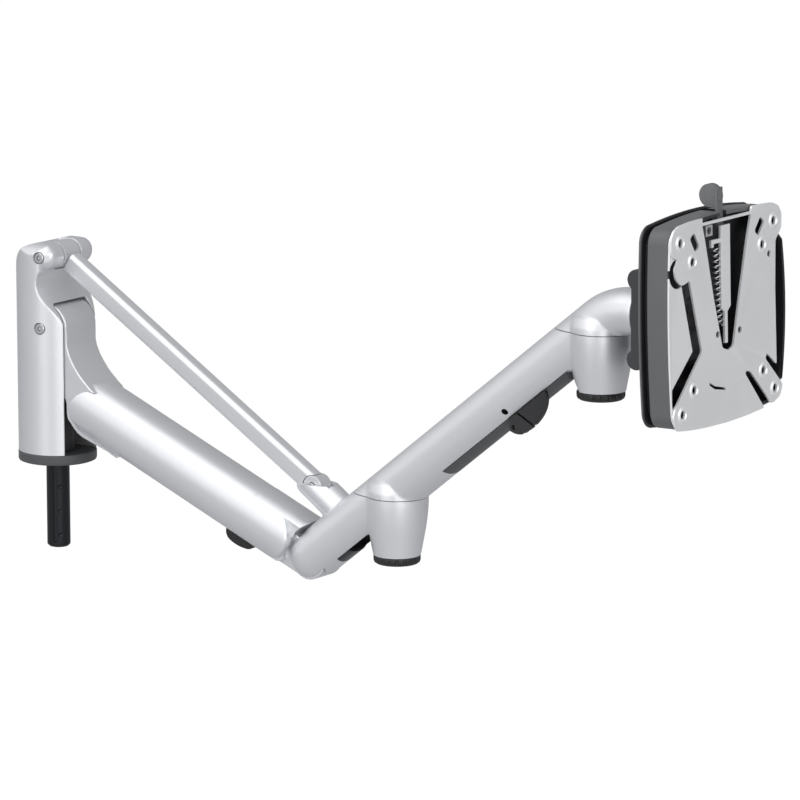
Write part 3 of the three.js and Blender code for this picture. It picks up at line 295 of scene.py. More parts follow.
column_cuts = [
    block((-9.8, 40), (-SLOT_HALF, SLOT_FAR), (-10, PIVOT_B[1])),
    cross_pin(PIVOT_B, -SLOT_HALF, SLOT_FAR, 15.9, 96),
    block((PIVOT_B[0], 40), (-SLOT_HALF, SLOT_FAR), (PIVOT_B[1] - 1, PIVOT_B[1] + 9)),
    cross_pin(PIVOT_A, -8.3, 8.3, 9.3, 96),
    block((PIVOT_A[0] - 9.3, 40), (-8.3, 8.3), (PIVOT_A[1], 160)),
    block((PIVOT_A[0], 40), (-8.3, 8.3), (122, 160)),
]
combine(column, column_cuts)
as_cast(column, 0.5, 7)
column_cuts = [block((-40, 40), (-40, 40), (-10, COLUMN_FOOT)), dowel((0, 0, 0), (0, 0, 41), 12.3)]
for pivot in (PIVOT_A, PIVOT_B):
    column_cuts.append(cross_pin(pivot, -30, 30, 3.1))
    column_cuts.append(cross_pin(pivot, -30, -21.1, 3.85))
    column_cuts.append(cross_pin(pivot, 21.1, 30, 4.6))
combine(column, column_cuts)
fit(column, "column", "silver_casting", silver_coat, "column_shell")

# ------------------------------------------------------------------ pivot bolts and lock nuts
# Zinc-plated steel socket screws through the column, one for the link rod and one for
# the lower arm, each with a lock nut on the far side.
zinc_screw = coat("zinc_plated_screw", (0.6, 0.6, 0.61), 0.9, 0.38, 0.3, 0.006, worn=0.3)
for name, pivot in (("a", PIVOT_A), ("b", PIVOT_B)):
    spot = (pivot[0], 0, pivot[1])
    screw = turned("pivot_screw_" + name, [(2.7, -24), (2.8, -23.8), (2.8, 21.4), (3.5, 21.5), (3.5, 23.6),
                                           (3.1, 24.2)], spot, -ACROSS, 64)
    combine(screw, [turned("socket", [(0.3, 21.4), (1.75, 22.6), (1.75, 26)], spot, -ACROSS, 6)])
    fit(screw, "column", "bright_steel", zinc_screw, "pivot_bolt_" + name, degrees=25)
    nut = turned("lock_nut_" + name, [(3.1, 21.4), (4.2, 21.4), (4.2, 23.4), (3.7, 24), (3.1, 24)],
                 spot, ACROSS, 6, hollow=True)
    fit(nut, "column", "bright_steel", zinc_screw, "pivot_nut_" + name, degrees=20)

# ------------------------------------------------------------------ lower arm casting
# The aluminium core of the lower arm, from the slim neck in the column's slot to the
# tongue at the elbow. It is bored along its length for the gas strut.
PIVOT_D = (208.5, -36.6)
NECK_HALF = 15
CORE_HALF = 13


class Slope:
    """A straight axis rising or falling along the arm, in the plane y = 0."""

    def __init__(self, x, z, rise):
        self.x, self.z, self.angle = x, z, math.atan(rise)
        self.along = Vector((math.cos(self.angle), 0, math.sin(self.angle)))
        self.up = Vector((-math.sin(self.angle), 0, math.cos(self.angle)))

    def height(self, x):
        return self.z + (x - self.x) * math.tan(self.angle)

    def sweep(self, section, start, end, name="sweep"):
        """Carries a (y, square to the axis) section between two values of x."""
        reach = [(x - self.x) / math.cos(self.angle) for x in (start, end)]
        return slab(name, section, ACROSS, self.up, self.along, *reach, at=(self.x, 0, self.z))

    def place(self, pairs):
        """Side outline from pairs of distance along the axis and height square to it."""
        spots = [Vector((self.x, 0, self.z)) + self.along * s + self.up * p for s, p in pairs]
        return [(spot.x, spot.z) for spot in spots]


def oval(half_width, half_height, power, count=96):
    points = []
    for u, v in arc(0, 0, 1, 0, 360, count)[:-1]:
        points.append((half_width * math.copysign(abs(u) ** (2 / power), u),
                       half_height * math.copysign(abs(v) ** (2 / power), v)))
    return points


lower = Slope(80, 19.25, -0.4084)
LOWER_SECTION = oval(19, 18.3, 2.3)
CORE_SECTION = oval(18.75, 18.05, 2.3)
COVER_LEFT = 38.7
COVER_RIGHT = 183.6
COVER_END_R = 14.2


def arm_side(r, waist, left=COVER_LEFT, right=COVER_RIGHT):
    """The arm seen from the side: round ends of radius r, a taller waist between them."""
    first, last = ((x - lower.x) / math.cos(lower.angle) for x in (left, right))
    outline = arc(last, 0, r, -90, 90, 40)
    if waist > r:
        outline += [(last - 8, r), (last - 11, waist), (first + 11, waist), (first + 8, r)]
    outline += arc(first, 0, r, 90, 270, 40)
    if waist > r:
        outline += [(first + 8, -r), (first + 11, -waist), (last - 11, -waist), (last - 8, -r)]
    return lower.place(outline)


neck_top = [(20.8, 84), (21.2, 76.4), (24.7, 68.6), (30.5, 60.9), (37.4, 54.3), (44.3, 49.2), (54, 44.4),
            (66, 38)]
neck_under = [(60, 10), (52, 13.6), (40, 17.6), (32.5, 20.2), (26.6, 24), (22.4, 29.6), (20.6, 36),
              (19.6, 41.5), (15.5, 46.6), (9.4, 52.6), (1, 63), (-5, 75)]
neck_side = arc(*PIVOT_B, 14.4, 190, 4, 40) + flow(neck_top) + flow(neck_under)
casting = combine(lower.sweep(CORE_SECTION, 20, 204, "lower_arm_core"),
                  [side_slab(arm_side(18.3, 18.3, right=COVER_RIGHT - 2), -40, 40)], "INTERSECT")
combine(casting, [cross_pin(PIVOT_D, -40, 40, 16.8, 96)])
tongue = side_slab([(176, -12), (PIVOT_D[0] - 3, PIVOT_D[1] + 12), PIVOT_D, (PIVOT_D[0] - 5, PIVOT_D[1] - 11),
                    (180, -38)], -10, 10)
upper = Slope(207, -35.2, 0.7996)
top_end = combine(lower.sweep(LOWER_SECTION, 150, 232), [
    side_slab(lower.place([(90, 1), (170, 1), (170, 30), (90, 30)]), -40, 40)], "INTERSECT")
beyond = upper.place([(-60, 16.2), (150, 16.2), (150, -150), (-60, -150)])
combine(top_end, [side_slab(beyond, -40, 40), cross_pin(PIVOT_D, -40, 40, 16.8, 96)])
combine(casting, [top_end], "UNION")
shaved = [block((60, 300), side, (-90, 90)) for side in ((CORE_HALF, 40), (-40, -CORE_HALF))]
combine(casting, [side_slab(neck_side, -NECK_HALF, NECK_HALF), tongue,
                  cross_pin(PIVOT_D, -10, 10, 12.5, 96)], "UNION")
as_cast(casting, 0.5, 14)
seat = arm_side(COVER_END_R + 0.3, COVER_END_R + 0.3)
shaved += [side_slab(seat, *side) for side in ((CORE_HALF, 40), (-40, -CORE_HALF))]
combine(casting, shaved + [
    block((-30, 60), (NECK_HALF, 40), (-90, 200)), block((-30, 60), (-40, -NECK_HALF), (-90, 200)),
    lower.sweep(arc(0, 0, 10.5, 0, 360, 64)[:-1], 2, 166),
    cross_pin(PIVOT_B, -40, 40, 5.8), cross_pin(PIVOT_D, -40, 40, 4.3)])
fit(casting, "lower_arm", "silver_casting", silver_coat, "lower_arm_casting")

# ------------------------------------------------------------------ lower arm covers
# Two moulded shells, painted to match, that clip on either side of the casting and give
# the arm its round flanks with rounded ends.
silver_paint = coat("silver_painted_cover", (0.73, 0.735, 0.755), 0.75, 0.4, 0.55, 0.003, shade=0.02,
                    worn=0.1)
COVER_SPLIT = 12.9
for name, inner, outer in (("near", -COVER_SPLIT, -30), ("far", COVER_SPLIT, 30)):
    cover = lower.sweep(LOWER_SECTION, 15, 205, "arm_shell_" + name)
    combine(cover, [side_slab(arm_side(15.2, 26, COVER_LEFT + 1, COVER_RIGHT - 1), -40, 40)], "INTERSECT")
    as_cast(cover, 0.5, 10)
    half = block((-20, 260), (min(inner, outer), max(inner, outer)), (-120, 120))
    combine(cover, [half], "INTERSECT")
    hollow = combine(lower.sweep(oval(16.6, 18.3, 2.3), 10, 210),
                     [side_slab(arm_side(COVER_END_R - 2.4, 11.8), -40, 40)], "INTERSECT")
    combine(cover, [hollow])
    fit(cover, "lower_arm", "silver_plastic", silver_paint, "arm_cover_" + name)

# ------------------------------------------------------------------ hidden running parts
# Nylon sleeves and bushes, the gas strut inside the lower arm, its pin and the hardened
# pins of the linkage. They keep their machined shapes and get their own finishes.
nylon = coat("natural_nylon", (0.78, 0.76, 0.7), 0.0, 0.42, 0.4, 0.01)
pin_steel = coat("ground_pin_steel", (0.55, 0.55, 0.56), 1.0, 0.24, 0.3, 0.006, drawn=(1, 8, 1))
# This black enamel finishes the gas strut and the latch screw, and also serves as painted shade in the
# recesses blackened below.
black_enamel_and_shade = coat("black_enamel_and_painted_shade", (0.015, 0.015, 0.017), 0.2, 0.3, 0.3, 0.006)
black_moulding = coat("black_moulding", (0.008, 0.008, 0.009), 0.0, 0.46, 0.35, 0.015, worn=0.15)
kept = {
    nylon: ["pivot_sleeve_b", "elbow_bush", "wrist_bush", "roll_washer"],
    pin_steel: ["gas_strut_rod", "strut_pin", "elbow_pin", "clevis_pin", "elbow_shaft", "wrist_shaft",
                "clip_pin", "roll_spindle"],
    black_enamel_and_shade: ["gas_strut_body"],
    # The column bush takes the black moulding so that the deep inside of the column's slot reads dark:
    # painted shade.
    black_moulding: ["column_bush"],
}
for finish, names in kept.items():
    for name in names:
        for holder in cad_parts[name].material_slots:
            holder.material = finish

# ------------------------------------------------------------------ lower cable clip
# A small black moulded hook under the lower arm that keeps a cable against it.


def ease(piece, width, steps=2, degrees=30):
    """Breaks the sharp edges of a machined or moulded piece."""
    bevel = piece.modifiers.new("ease", "BEVEL")
    bevel.width = width * MM
    bevel.segments = steps
    bevel.limit_method = "ANGLE"
    bevel.angle_limit = math.radians(degrees)
    return settle(piece)


hook_side = flow(lower.place([(75, -17.6), (76.2, -20.4), (79, -22.6), (84, -23.4), (90, -23), (96, -21.2),
                              (99, -17.6)]))
hook = side_slab(hook_side, -8, 8, "lower_cable_hook")
combine(hook, [side_slab(lower.place([(60, -18.6), (60, -21), (110, -21), (110, -18.6)]), -5.6, 5.6)])
fit(ease(hook, 0.8, 3), "lower_arm", "black_plastic", black_moulding, "lower_cable_clip")

# ------------------------------------------------------------------ link rod
# A drawn aluminium bar with a pinned eye in each end. It runs above the lower arm from
# the column's ears to the elbow's fork and keeps the elbow upright as the arm rises.
PIVOT_C = (208.5, 8.9)
rod = Slope(*PIVOT_A, (PIVOT_C[1] - PIVOT_A[1]) / (PIVOT_C[0] - PIVOT_A[0]))
ROD_LENGTH = math.dist(PIVOT_A, PIVOT_C)
BAR_HALF_WIDTH = 5.5
BAR_HALF_HEIGHT = 6.8
BAR_ROUND = 3.4


def round_box(half_u, half_v, r, steps=8):
    return (arc(half_u - r, half_v - r, r, 0, 90, steps) + arc(r - half_u, half_v - r, r, 90, 180, steps)
            + arc(r - half_u, r - half_v, r, 180, 270, steps)
            + arc(half_u - r, r - half_v, r, 270, 360, steps))


def on_rod(section, start, end, name="on_rod"):
    return slab(name, section, ACROSS, rod.up, rod.along, start, end, at=(PIVOT_A[0], 0, PIVOT_A[1]))


bar = on_rod(round_box(BAR_HALF_WIDTH, BAR_HALF_HEIGHT, BAR_ROUND), 9.2, ROD_LENGTH - 3, "levelling_bar")
combine(bar, [on_rod(round_box(2.9, 3.5, 0.8), 5, 26), on_rod(round_box(2.9, 3.5, 0.8), ROD_LENGTH - 26,
                                                            ROD_LENGTH), cross_pin(PIVOT_C, -9, 9, 7.5)])
fit(ease(bar, 0.5, 2, 50), "link_rod", "silver_casting", silver_coat, "link_bar")
for name, pivot, r, half, toward in (("a", PIVOT_A, 8.5, 7.8, 1), ("c", PIVOT_C, 7.2, 5.5, -1)):
    spot = (pivot[0], 0, pivot[1])
    eye = turned("rod_eye_" + name, [(r - 0.8, -half), (r - 0.2, -half + 0.25), (r, -half + 0.9),
                                     (r, half - 0.9), (r - 0.2, half - 0.25), (r - 0.8, half)],
                 spot, ACROSS)
    ends = [(8.9, 30), (3, 25)] if toward > 0 else [(ROD_LENGTH - 30, ROD_LENGTH - 8.9),
                                                    (ROD_LENGTH - 25, ROD_LENGTH - 3)]
    combine(eye, [on_rod(round_box(20, 20, 1), *ends[0])])
    combine(eye, [on_rod(round_box(2.6, 3.2, 0.8), *ends[1])], "UNION")
    combine(eye, [cross_pin(pivot, -20, 20, 3.1)])
    fit(eye, "link_rod", "silver_casting", silver_coat, "link_eye_" + name)

# ------------------------------------------------------------------ elbow casting
# The aluminium knuckle under the upper arm: a blunt tube with a rounded nose over the
# lower arm's tongue, a round fork for the link rod and the cup of the elbow swivel.
UPPER_SECTION = oval(16.4, 15.5, 2.2)
ELBOW_X = 269.7
ELBOW_SEAM = 11
SEAM_GAP = 0.45
ELBOW_DROP = 37
CUP_PROFILE = [(19.5, 0), (19.45, 5), (19, 11.5), (18.2, 18), (17.1, 24.5), (15.9, 31), (14.6, 38),
               (13.6, 43)]
SHAFT_BORE = 10.8


def cup(x, seam, lift=7):
    """The tapered cup that hangs below a swivel seam."""
    outline = [(19.5, lift)] + [(r, -depth) for r, depth in flow(CUP_PROFILE, 4)]
    return turned("cup", outline, (x, 0, seam))


def foot(x, seam):
    """The low round foot that stands on a swivel seam and blends into the tube."""
    return turned("foot", [(19.5, -7), (19.5, 0), (19.3, 4), (17.6, 9), (12.4, 13), (4, 14.2)], (x, 0, seam))


def level_slice(low, high):
    return block((-100, 700), (-100, 100), (low, high))


NOSE = (208.5, -35)
NOSE_REACH = 16
NOSE_POWER = 2.35
nose_rings = []
for i in range(41):
    back = NOSE_REACH * math.sin(math.pi / 2 * (1 - i / 40)) if i < 40 else 0
    size = max(0.02, (1 - (back / NOSE_REACH) ** NOSE_POWER) ** (1 / NOSE_POWER))
    spot = Vector((NOSE[0], 0, upper.height(NOSE[0]))) - upper.along * back
    nose_rings.append([spot + ACROSS * u * size + upper.up * v * size for u, v in UPPER_SECTION])
nose_rings.append([Vector(p) + upper.along * 110 for p in nose_rings[-1]])
elbow = skin("elbow_knuckle", nose_rings)
combine(elbow, [level_slice(-100, ELBOW_SEAM + 7)], "INTERSECT")
FORK_R = 10.2
fork_line = Slope(*PIVOT_C, math.tan(math.radians(-35)))
fork_tube = turned("fork", [(6.6, -10.2), (8.8, -9.4), (9.9, -7.6), (FORK_R, -5), (FORK_R, 34)],
                   (PIVOT_C[0], 0, PIVOT_C[1]), fork_line.along)
combine(elbow, [fork_tube, cup(ELBOW_X, ELBOW_SEAM)], "UNION")
as_cast(elbow, 0.5, 26)
cable_way = upper.sweep([(u, v - 17) for u, v in round_box(9.5, 9.5, 4)], 231, 260)
ROOM = 10.4
tongue_way = side_slab([(150, -90), (PIVOT_D[0] - 4, -90), (PIVOT_D[0] + 10.4, PIVOT_D[1] - 8.4),
                        (PIVOT_D[0], PIVOT_D[1] + 13.3), (200, -10), (150, 10)], -ROOM, ROOM)
fork_slot = slab("fork_slot", round_box(5.9, 16, 1), ACROSS, fork_line.up, fork_line.along, -24, 10.3,
                 (PIVOT_C[0], 0, PIVOT_C[1]))
combine(elbow, [
    level_slice(ELBOW_SEAM - SEAM_GAP / 2, 60),
    block((ELBOW_X - 18, ELBOW_X + 18), (-18, 18), (ELBOW_SEAM - ELBOW_DROP - 9, ELBOW_SEAM - ELBOW_DROP)),
    fork_slot, tongue_way, cable_way,
    cross_pin(PIVOT_D, -ROOM, ROOM, 13.3, 96),
    block((PIVOT_D[0] - 60, PIVOT_D[0]), (-ROOM, ROOM), (-90, PIVOT_D[1] + 13.3)),
    dowel((ELBOW_X, 0, ELBOW_SEAM - 50), (ELBOW_X, 0, ELBOW_SEAM + 5), SHAFT_BORE),
    cross_pin(PIVOT_D, -13, 30, 4.3), cross_pin(PIVOT_C, -8.2, 30, 3.1)])
fit(elbow, "elbow", "silver_casting", silver_coat, "elbow_casting")


def paint_shade_black(piece, inside):
    """Paints shade: gives the faces for which inside(centre, normal) holds a black that stands in for an
    unlit recess.
    """
    piece.data.materials.append(black_enamel_and_shade)
    for face in piece.data.polygons:
        if inside(face.center / MM, face.normal):
            face.material_index = 1


def in_cable_way(centre, normal):
    height = (centre - Vector((upper.x, 0, upper.z))).dot(upper.up)
    return 230.8 < centre.x < 262 and abs(centre.y) < 9.6 and -26.6 < height < -7.4


# Painted shade: the inside of the cable way is coloured black for the shade in it.
paint_shade_black(elbow, in_cable_way)

# ------------------------------------------------------------------ swivel rings
# Black moulded locking rings screwed up under the elbow and wrist cups, with finger
# notches all round, which set how stiffly each swivel turns.
RING_NOTCHES = 20
WRIST_X = 419.3
WRIST_SEAM = 130
WRIST_DROP = 35.6
for name, x, seam, drop, body in (("elbow", ELBOW_X, ELBOW_SEAM, ELBOW_DROP, "elbow"),
                                  ("wrist", WRIST_X, WRIST_SEAM, WRIST_DROP, "upper_arm")):
    foot_z = seam - drop
    lock = turned(name + "_locking_ring", [(11, -5.4), (13, -5.3), (14.1, -4.5), (14.6, -3.2), (14.6, -0.9),
                                           (14.2, -0.3)], (x, 0, foot_z))
    notches = []
    for i in range(RING_NOTCHES):
        turn = 2 * math.pi * i / RING_NOTCHES
        spoke = Vector((math.cos(turn), math.sin(turn), 0))
        notches.append(turned("notch", [(1, -7), (1, -1.1)], Vector((x, 0, foot_z)) + spoke * 14.9, sides=16))
    fit(combine(lock, notches), body, "black_plastic", black_moulding, name + "_ring")

# ------------------------------------------------------------------ upper arm casting
# The long oval aluminium tube with the wrist's cup cast on its end. It stands on the
# elbow seam, and its underside is open along a channel for the screen's cable.
CHANNEL_FROM = 304
CHANNEL_TO = 396
CHANNEL_SPLIT = -12
PIN_HOLE = (359.7, 76.2)
HOLE_R = 1.9
HOLE_FLOOR = -9
arm = upper.sweep(UPPER_SECTION, 225, 455, "upper_arm_tube")
combine(arm, [level_slice(ELBOW_SEAM - 7, WRIST_SEAM + 7)], "INTERSECT")
combine(arm, [foot(ELBOW_X, ELBOW_SEAM), cup(WRIST_X, WRIST_SEAM)], "UNION")
as_cast(arm, 0.55, 24)
under = [(-30, -40), (30, -40), (30, CHANNEL_SPLIT), (-30, CHANNEL_SPLIT)]
trough = [(-8, -40), (8, -40), (8, -5), (-8, -5)]
combine(arm, [
    level_slice(-100, ELBOW_SEAM + SEAM_GAP / 2), level_slice(WRIST_SEAM - SEAM_GAP / 2, 200),
    block((WRIST_X - 18, WRIST_X + 18), (-18, 18), (WRIST_SEAM - WRIST_DROP - 9, WRIST_SEAM - WRIST_DROP)),
    upper.sweep(under, CHANNEL_FROM, CHANNEL_TO), upper.sweep(trough, CHANNEL_FROM, CHANNEL_TO - 4),
    dowel((WRIST_X, 0, WRIST_SEAM - 50), (WRIST_X, 0, WRIST_SEAM + 5), SHAFT_BORE),
    dowel((ELBOW_X, 0, 6), (ELBOW_X, 0, 23.5), 8.3),
    dowel((PIN_HOLE[0], -30, PIN_HOLE[1]), (PIN_HOLE[0], HOLE_FLOOR, PIN_HOLE[1]), HOLE_R)])
fit(arm, "upper_arm", "silver_casting", silver_coat, "upper_arm_casting")


def in_pin_hole(centre, normal):
    off = math.dist((centre.x, centre.z), PIN_HOLE)
    wall = centre.y < HOLE_FLOOR + 0.1 and off < HOLE_R + 0.2 and abs(normal.y) < 0.5
    floor = abs(centre.y - HOLE_FLOOR) < 0.1 and off < HOLE_R + 0.1
    return wall or floor


# Painted shade: the pin hole's walls and floor are coloured black.
paint_shade_black(arm, in_pin_hole)

# ------------------------------------------------------------------ cable cover
# A dark moulded strip that snaps into the channel under the upper arm.
strip = upper.sweep(UPPER_SECTION, CHANNEL_FROM + 0.3, CHANNEL_TO - 0.3, "channel_strip")
combine(strip, [upper.sweep([(-30, -40), (30, -40), (30, -12.4), (-30, -12.4)], 290, 420)], "INTERSECT")
combine(strip, [dowel((WRIST_X, 0, 60), (WRIST_X, 0, 140), 20.2, 96)])
fit(strip, "upper_arm", "dark_plastic", dark_moulding, "cable_cover")

# ------------------------------------------------------------------ cable clip
# A half-round black clip under the upper arm: a fixed seat, and a gate that swings down
# on a steel pin at its lower end to let a cable in.
CLIP_MIDDLE = 196.2
CHEEK_MIDDLE = 197.4
CHEEK_REACH = 16.2
CHEEK_TOP = -12.9
CHEEK_DROP = 13.2
CLIP_TOP = -15.9
CLIP_DROP = 10.8
CLIP_REACH = 14.9
CLIP_HALF = 9.5
HINGE = (186.6, -18.6)
PIN_R = 1.4
hinge_at = upper.place([HINGE])[0]


def clip_edge(start, end):
    turn = [math.radians(start + (end - start) * i / 24) for i in range(25)]
    return [(CLIP_MIDDLE + CLIP_REACH * math.cos(a), CLIP_TOP + CLIP_DROP * math.sin(a)) for a in turn]


def add_cheek(piece, pairs):
    """The clip's outer flank, which reaches up beside the arm."""
    return combine(piece, [side_slab(upper.place(pairs), -11.7, -9.2)], "UNION")


def cheek_edge(start, end, reach=CHEEK_REACH):
    turn = [math.radians(start + (end - start) * i / 24) for i in range(25)]
    return [(CHEEK_MIDDLE + reach * math.cos(a), CHEEK_TOP + CHEEK_DROP * math.sin(a)) for a in turn]


def clip_block(pairs, half, roof):
    blank = side_slab(upper.place(pairs), -half, half, "clip")
    plan = (arc(CLIP_MIDDLE + CLIP_REACH - 8.6, 0, CLIP_HALF, -90, 90)
            + [(CLIP_MIDDLE - CLIP_REACH - 3, CLIP_HALF), (CLIP_MIDDLE - CLIP_REACH - 3, -CLIP_HALF)])
    combine(blank, [slab("plan", plan, upper.along, ACROSS, upper.up, -40, 10,
                         (upper.x, 0, upper.z))], "INTERSECT")
    floor = CLIP_TOP - 7.2
    way = upper.place([(150, CLIP_TOP - roof), (150, floor), (250, floor), (250, CLIP_TOP - roof)])
    return combine(blank, [side_slab(way, -6.4, 6.4)])


strap = upper.place([(HINGE[0] - 1.5, CLIP_TOP), (CHEEK_MIDDLE + 6, CLIP_TOP),
                     (CHEEK_MIDDLE + 6, CLIP_TOP - 1.9), (HINGE[0] - 1.5, CLIP_TOP - 1.9)])
lug = upper.place([(CHEEK_MIDDLE + 1.6, CLIP_TOP), (CHEEK_MIDDLE + 6, CLIP_TOP),
                   (CHEEK_MIDDLE + 6, CLIP_TOP - 1.9), (CHEEK_MIDDLE + 1.6, CLIP_TOP - 1.9)])
seat = side_slab(strap, -6, 6, "cable_clip_seat")
combine(seat, [cross_pin(hinge_at, -6, 6, 2.2), side_slab(lug, -10, -5)], "UNION")
add_cheek(seat, [(CHEEK_MIDDLE - 2.4, CHEEK_TOP), (CHEEK_MIDDLE + 3.2, CHEEK_TOP - CHEEK_DROP + 0.3),
                 *cheek_edge(-80, 0, CHEEK_REACH + 6)])
combine(seat, [cross_pin(hinge_at, -20, 20, PIN_R)])
fit(ease(seat, 0.4, 3), "upper_arm", "black_plastic", black_moulding, "clip_seat", degrees=20)

gate = clip_block([(CLIP_MIDDLE - 6, CLIP_TOP - 0.3), *clip_edge(-122, -180)[:-1],
                   (CLIP_MIDDLE - CLIP_REACH, CLIP_TOP - 0.3)], CLIP_HALF, -2)
gate.name = "cable_clip_gate"
add_cheek(gate, [(CHEEK_MIDDLE - 4, CHEEK_TOP), (CHEEK_MIDDLE + 1.8, CHEEK_TOP - CHEEK_DROP + 0.1),
                 *cheek_edge(-90, -180)])
turn_room = side_slab(upper.place([(HINGE[0], CLIP_TOP + 6), (HINGE[0] - 12, CLIP_TOP + 6),
                                   (HINGE[0] - 12, HINGE[1]), (HINGE[0], HINGE[1])]), -20, 20)
combine(turn_room, [cross_pin(hinge_at, -20, 20, 3)])
low_side = side_slab(upper.place([(150, -24.2), (250, -24.2), (250, -60), (150, -60)]), -9.1, 20)
combine(gate, [block((200, 500), (-2, 40), (-90, 200)), low_side, turn_room,
               cross_pin(hinge_at, -6.4, 6.4, 3.4), cross_pin(hinge_at, -20, 20, PIN_R)])
fit(ease(gate, 0.4, 3), "cable_gate", "black_plastic", black_moulding, "clip_gate", degrees=20)

# ------------------------------------------------------------------ wrist head
# The aluminium elbow on top of the wrist swivel. The arm's tube carries on through the
# seam and bends level to meet the tilt bracket, which two screws hold to its end.
BEND_R = 34
OUTLET_Z = 142.8
OUTLET_END = 449.3
corner_x = upper.x + (OUTLET_Z - upper.z) / math.tan(upper.angle)
tangent = BEND_R * math.tan(upper.angle / 2)
rings = []
start = Vector((corner_x, 0, OUTLET_Z)) - upper.along * (tangent + 46)
centre = Vector((corner_x + tangent, 0, OUTLET_Z - BEND_R))
stations = [(start, upper.angle)]
for i in range(25):
    angle = upper.angle * (1 - i / 24)
    stations.append((centre + Vector((-math.sin(angle), 0, math.cos(angle))) * BEND_R, angle))
stations.append((Vector((OUTLET_END, 0, OUTLET_Z)), 0))
for spot, angle in stations:
    up = Vector((-math.sin(angle), 0, math.cos(angle)))
    slim = 1 - angle / upper.angle
    section = oval(16.2 - 0.8 * slim, 15.5 - 1.3 * slim, 2.15)
    rings.append([spot + ACROSS * u + up * (v + 1.3 * slim) for u, v in section])
head = skin("wrist_elbow", rings)
combine(head, [foot(WRIST_X, WRIST_SEAM)], "UNION")
as_cast(head, 0.5, 24)
sockets = [dowel((438, y, OUTLET_Z), (470, y, OUTLET_Z), 2.3) for y in (-8, 8)]
combine(head, [level_slice(0, WRIST_SEAM + SEAM_GAP / 2), dowel((WRIST_X, 0, 120), (WRIST_X, 0, 142.5), 8.3),
               *sockets])
fit(head, "wrist", "silver_casting", silver_coat, "wrist_head")

# ------------------------------------------------------------------ tilt bracket
# A dark painted casting on the end of the wrist: an upright plate rolled round at top
# and bottom, with two ears that carry the tilt pin.
TILT_PIN = (464.5, 147)
PLATE_BACK = 449.6
PLATE_FRONT = 456.5
dark_paint = coat("dark_painted_casting", (0.058, 0.06, 0.064), 0.35, 0.36, 0.3, 0.02, worn=0.35)
bracket = block((PLATE_BACK, PLATE_FRONT), (-14.5, 14.5), (118.5, 166))
bracket.name = "tilt_yoke"
lobes = []
for z in (166, 118.5):
    lobe = cross_pin(((PLATE_BACK + PLATE_FRONT) / 2, z), -14.5, 14.5, 6.3, 96)
    lobes.append(combine(lobe, [block((PLATE_BACK - 4, PLATE_FRONT + 1), (-30, 30), (90, 190))], "INTERSECT"))
for low, high in ((-14.5, -10.9), (10.9, 14.5)):
    lobes.append(block((PLATE_FRONT - 1, TILT_PIN[0]), (low, high), (TILT_PIN[1] - 6.8, TILT_PIN[1] + 6.8)))
    lobes.append(cross_pin(TILT_PIN, low, high, 6.8, 96))
combine(bracket, lobes, "UNION")
as_cast(bracket, 0.4, 4)
cuts = [cross_pin(TILT_PIN, -30, 30, 3.9)]
for y in (-8, 8):
    cuts.append(dowel((440, y, OUTLET_Z), (470, y, OUTLET_Z), 2.3))
    cuts.append(dowel((454.1, y, OUTLET_Z), (459, y, OUTLET_Z), 4.3))
combine(bracket, cuts)
fit(bracket, "wrist", "dark_casting", dark_paint, "tilt_bracket")
for name, y in (("near", -8), ("far", 8)):
    screw = turned("yoke_screw_" + name, [(1.9, 439), (2, 439.3), (2, 454.3), (4, 454.3), (4, 455.6),
                                          (3.4, 456.3)], (0, y, OUTLET_Z), ALONG, 48)
    combine(screw, [turned("socket", [(0.3, 454.9), (1.5, 455.5), (1.5, 460)], (0, y, OUTLET_Z), ALONG, 6)])
    fit(screw, "wrist", "bright_steel", zinc_screw, "bracket_screw_" + name)
pin = turned("tilt_axle", [(3, -15.6), (3.5, -15.1), (3.5, 15.1), (3, 15.6)],
             (TILT_PIN[0], 0, TILT_PIN[1]), ACROSS, 64)
fit(pin, "wrist", "bright_steel", zinc_screw, "tilt_pin")

# ------------------------------------------------------------------ tilt knuckle
# The dark casting between the yoke's ears. It nods on the tilt pin, and its round
# flange carries the spindle on which the head turns.
HEAD_Z = 146.9
LEAN = math.radians(1.6)
FLANGE_FRONT = 474.8
lean = (Matrix.Translation(Vector((TILT_PIN[0], 0, TILT_PIN[1])) * MM) @ Matrix.Rotation(-LEAN, 4, "Y")
        @ Matrix.Translation(Vector((-TILT_PIN[0], 0, -TILT_PIN[1])) * MM))


def on_head(piece, *rest, **more):
    """The head leans back a little on its tilt pin, so its pieces are leaned before they are fitted."""
    piece.data.transform(lean)
    return fit(piece, *rest, **more)


def spindle_dowel(low, high, r, y=0, z=0, sides=64):
    return dowel((low, y, HEAD_Z + z), (high, y, HEAD_Z + z), r, sides)


knuckle = cross_pin(TILT_PIN, -10.5, 10.5, 7.2, 96)
knuckle.name = "tilt_block_casting"
flange = turned("flange", [(19.2, 472.2), (20, 472.8), (20, 474.3), (19.5, FLANGE_FRONT)],
                (0, 0, HEAD_Z), ALONG)
combine(knuckle, [block((TILT_PIN[0], 473.8), (-10.5, 10.5), (TILT_PIN[1] - 7.2, TILT_PIN[1] + 7.2)), flange],
        "UNION")
combine(knuckle, [cross_pin(TILT_PIN, -30, 30, 4), spindle_dowel(470.3, 490, 6.3)])
on_head(ease(knuckle, 0.4, 2, 50), "tilt_block", "dark_casting", dark_paint, "tilt_knuckle")

# ------------------------------------------------------------------ head housing
# Two dark moulded shells of barrel-sided square outline, a lipped back with a raised
# boss, and a front tray that holds the latch. The groove between them is coloured black as painted shade.
HEAD_HALF = 59.4
HEAD_BULGES = (4.8, 3.2, 1.8, 3.2)  # far, top, near, bottom
CORNER_LEAD = 4.4
HEAD_CORNER = 10


def lifted(points):
    return [(u, v + HEAD_Z) for u, v in points]


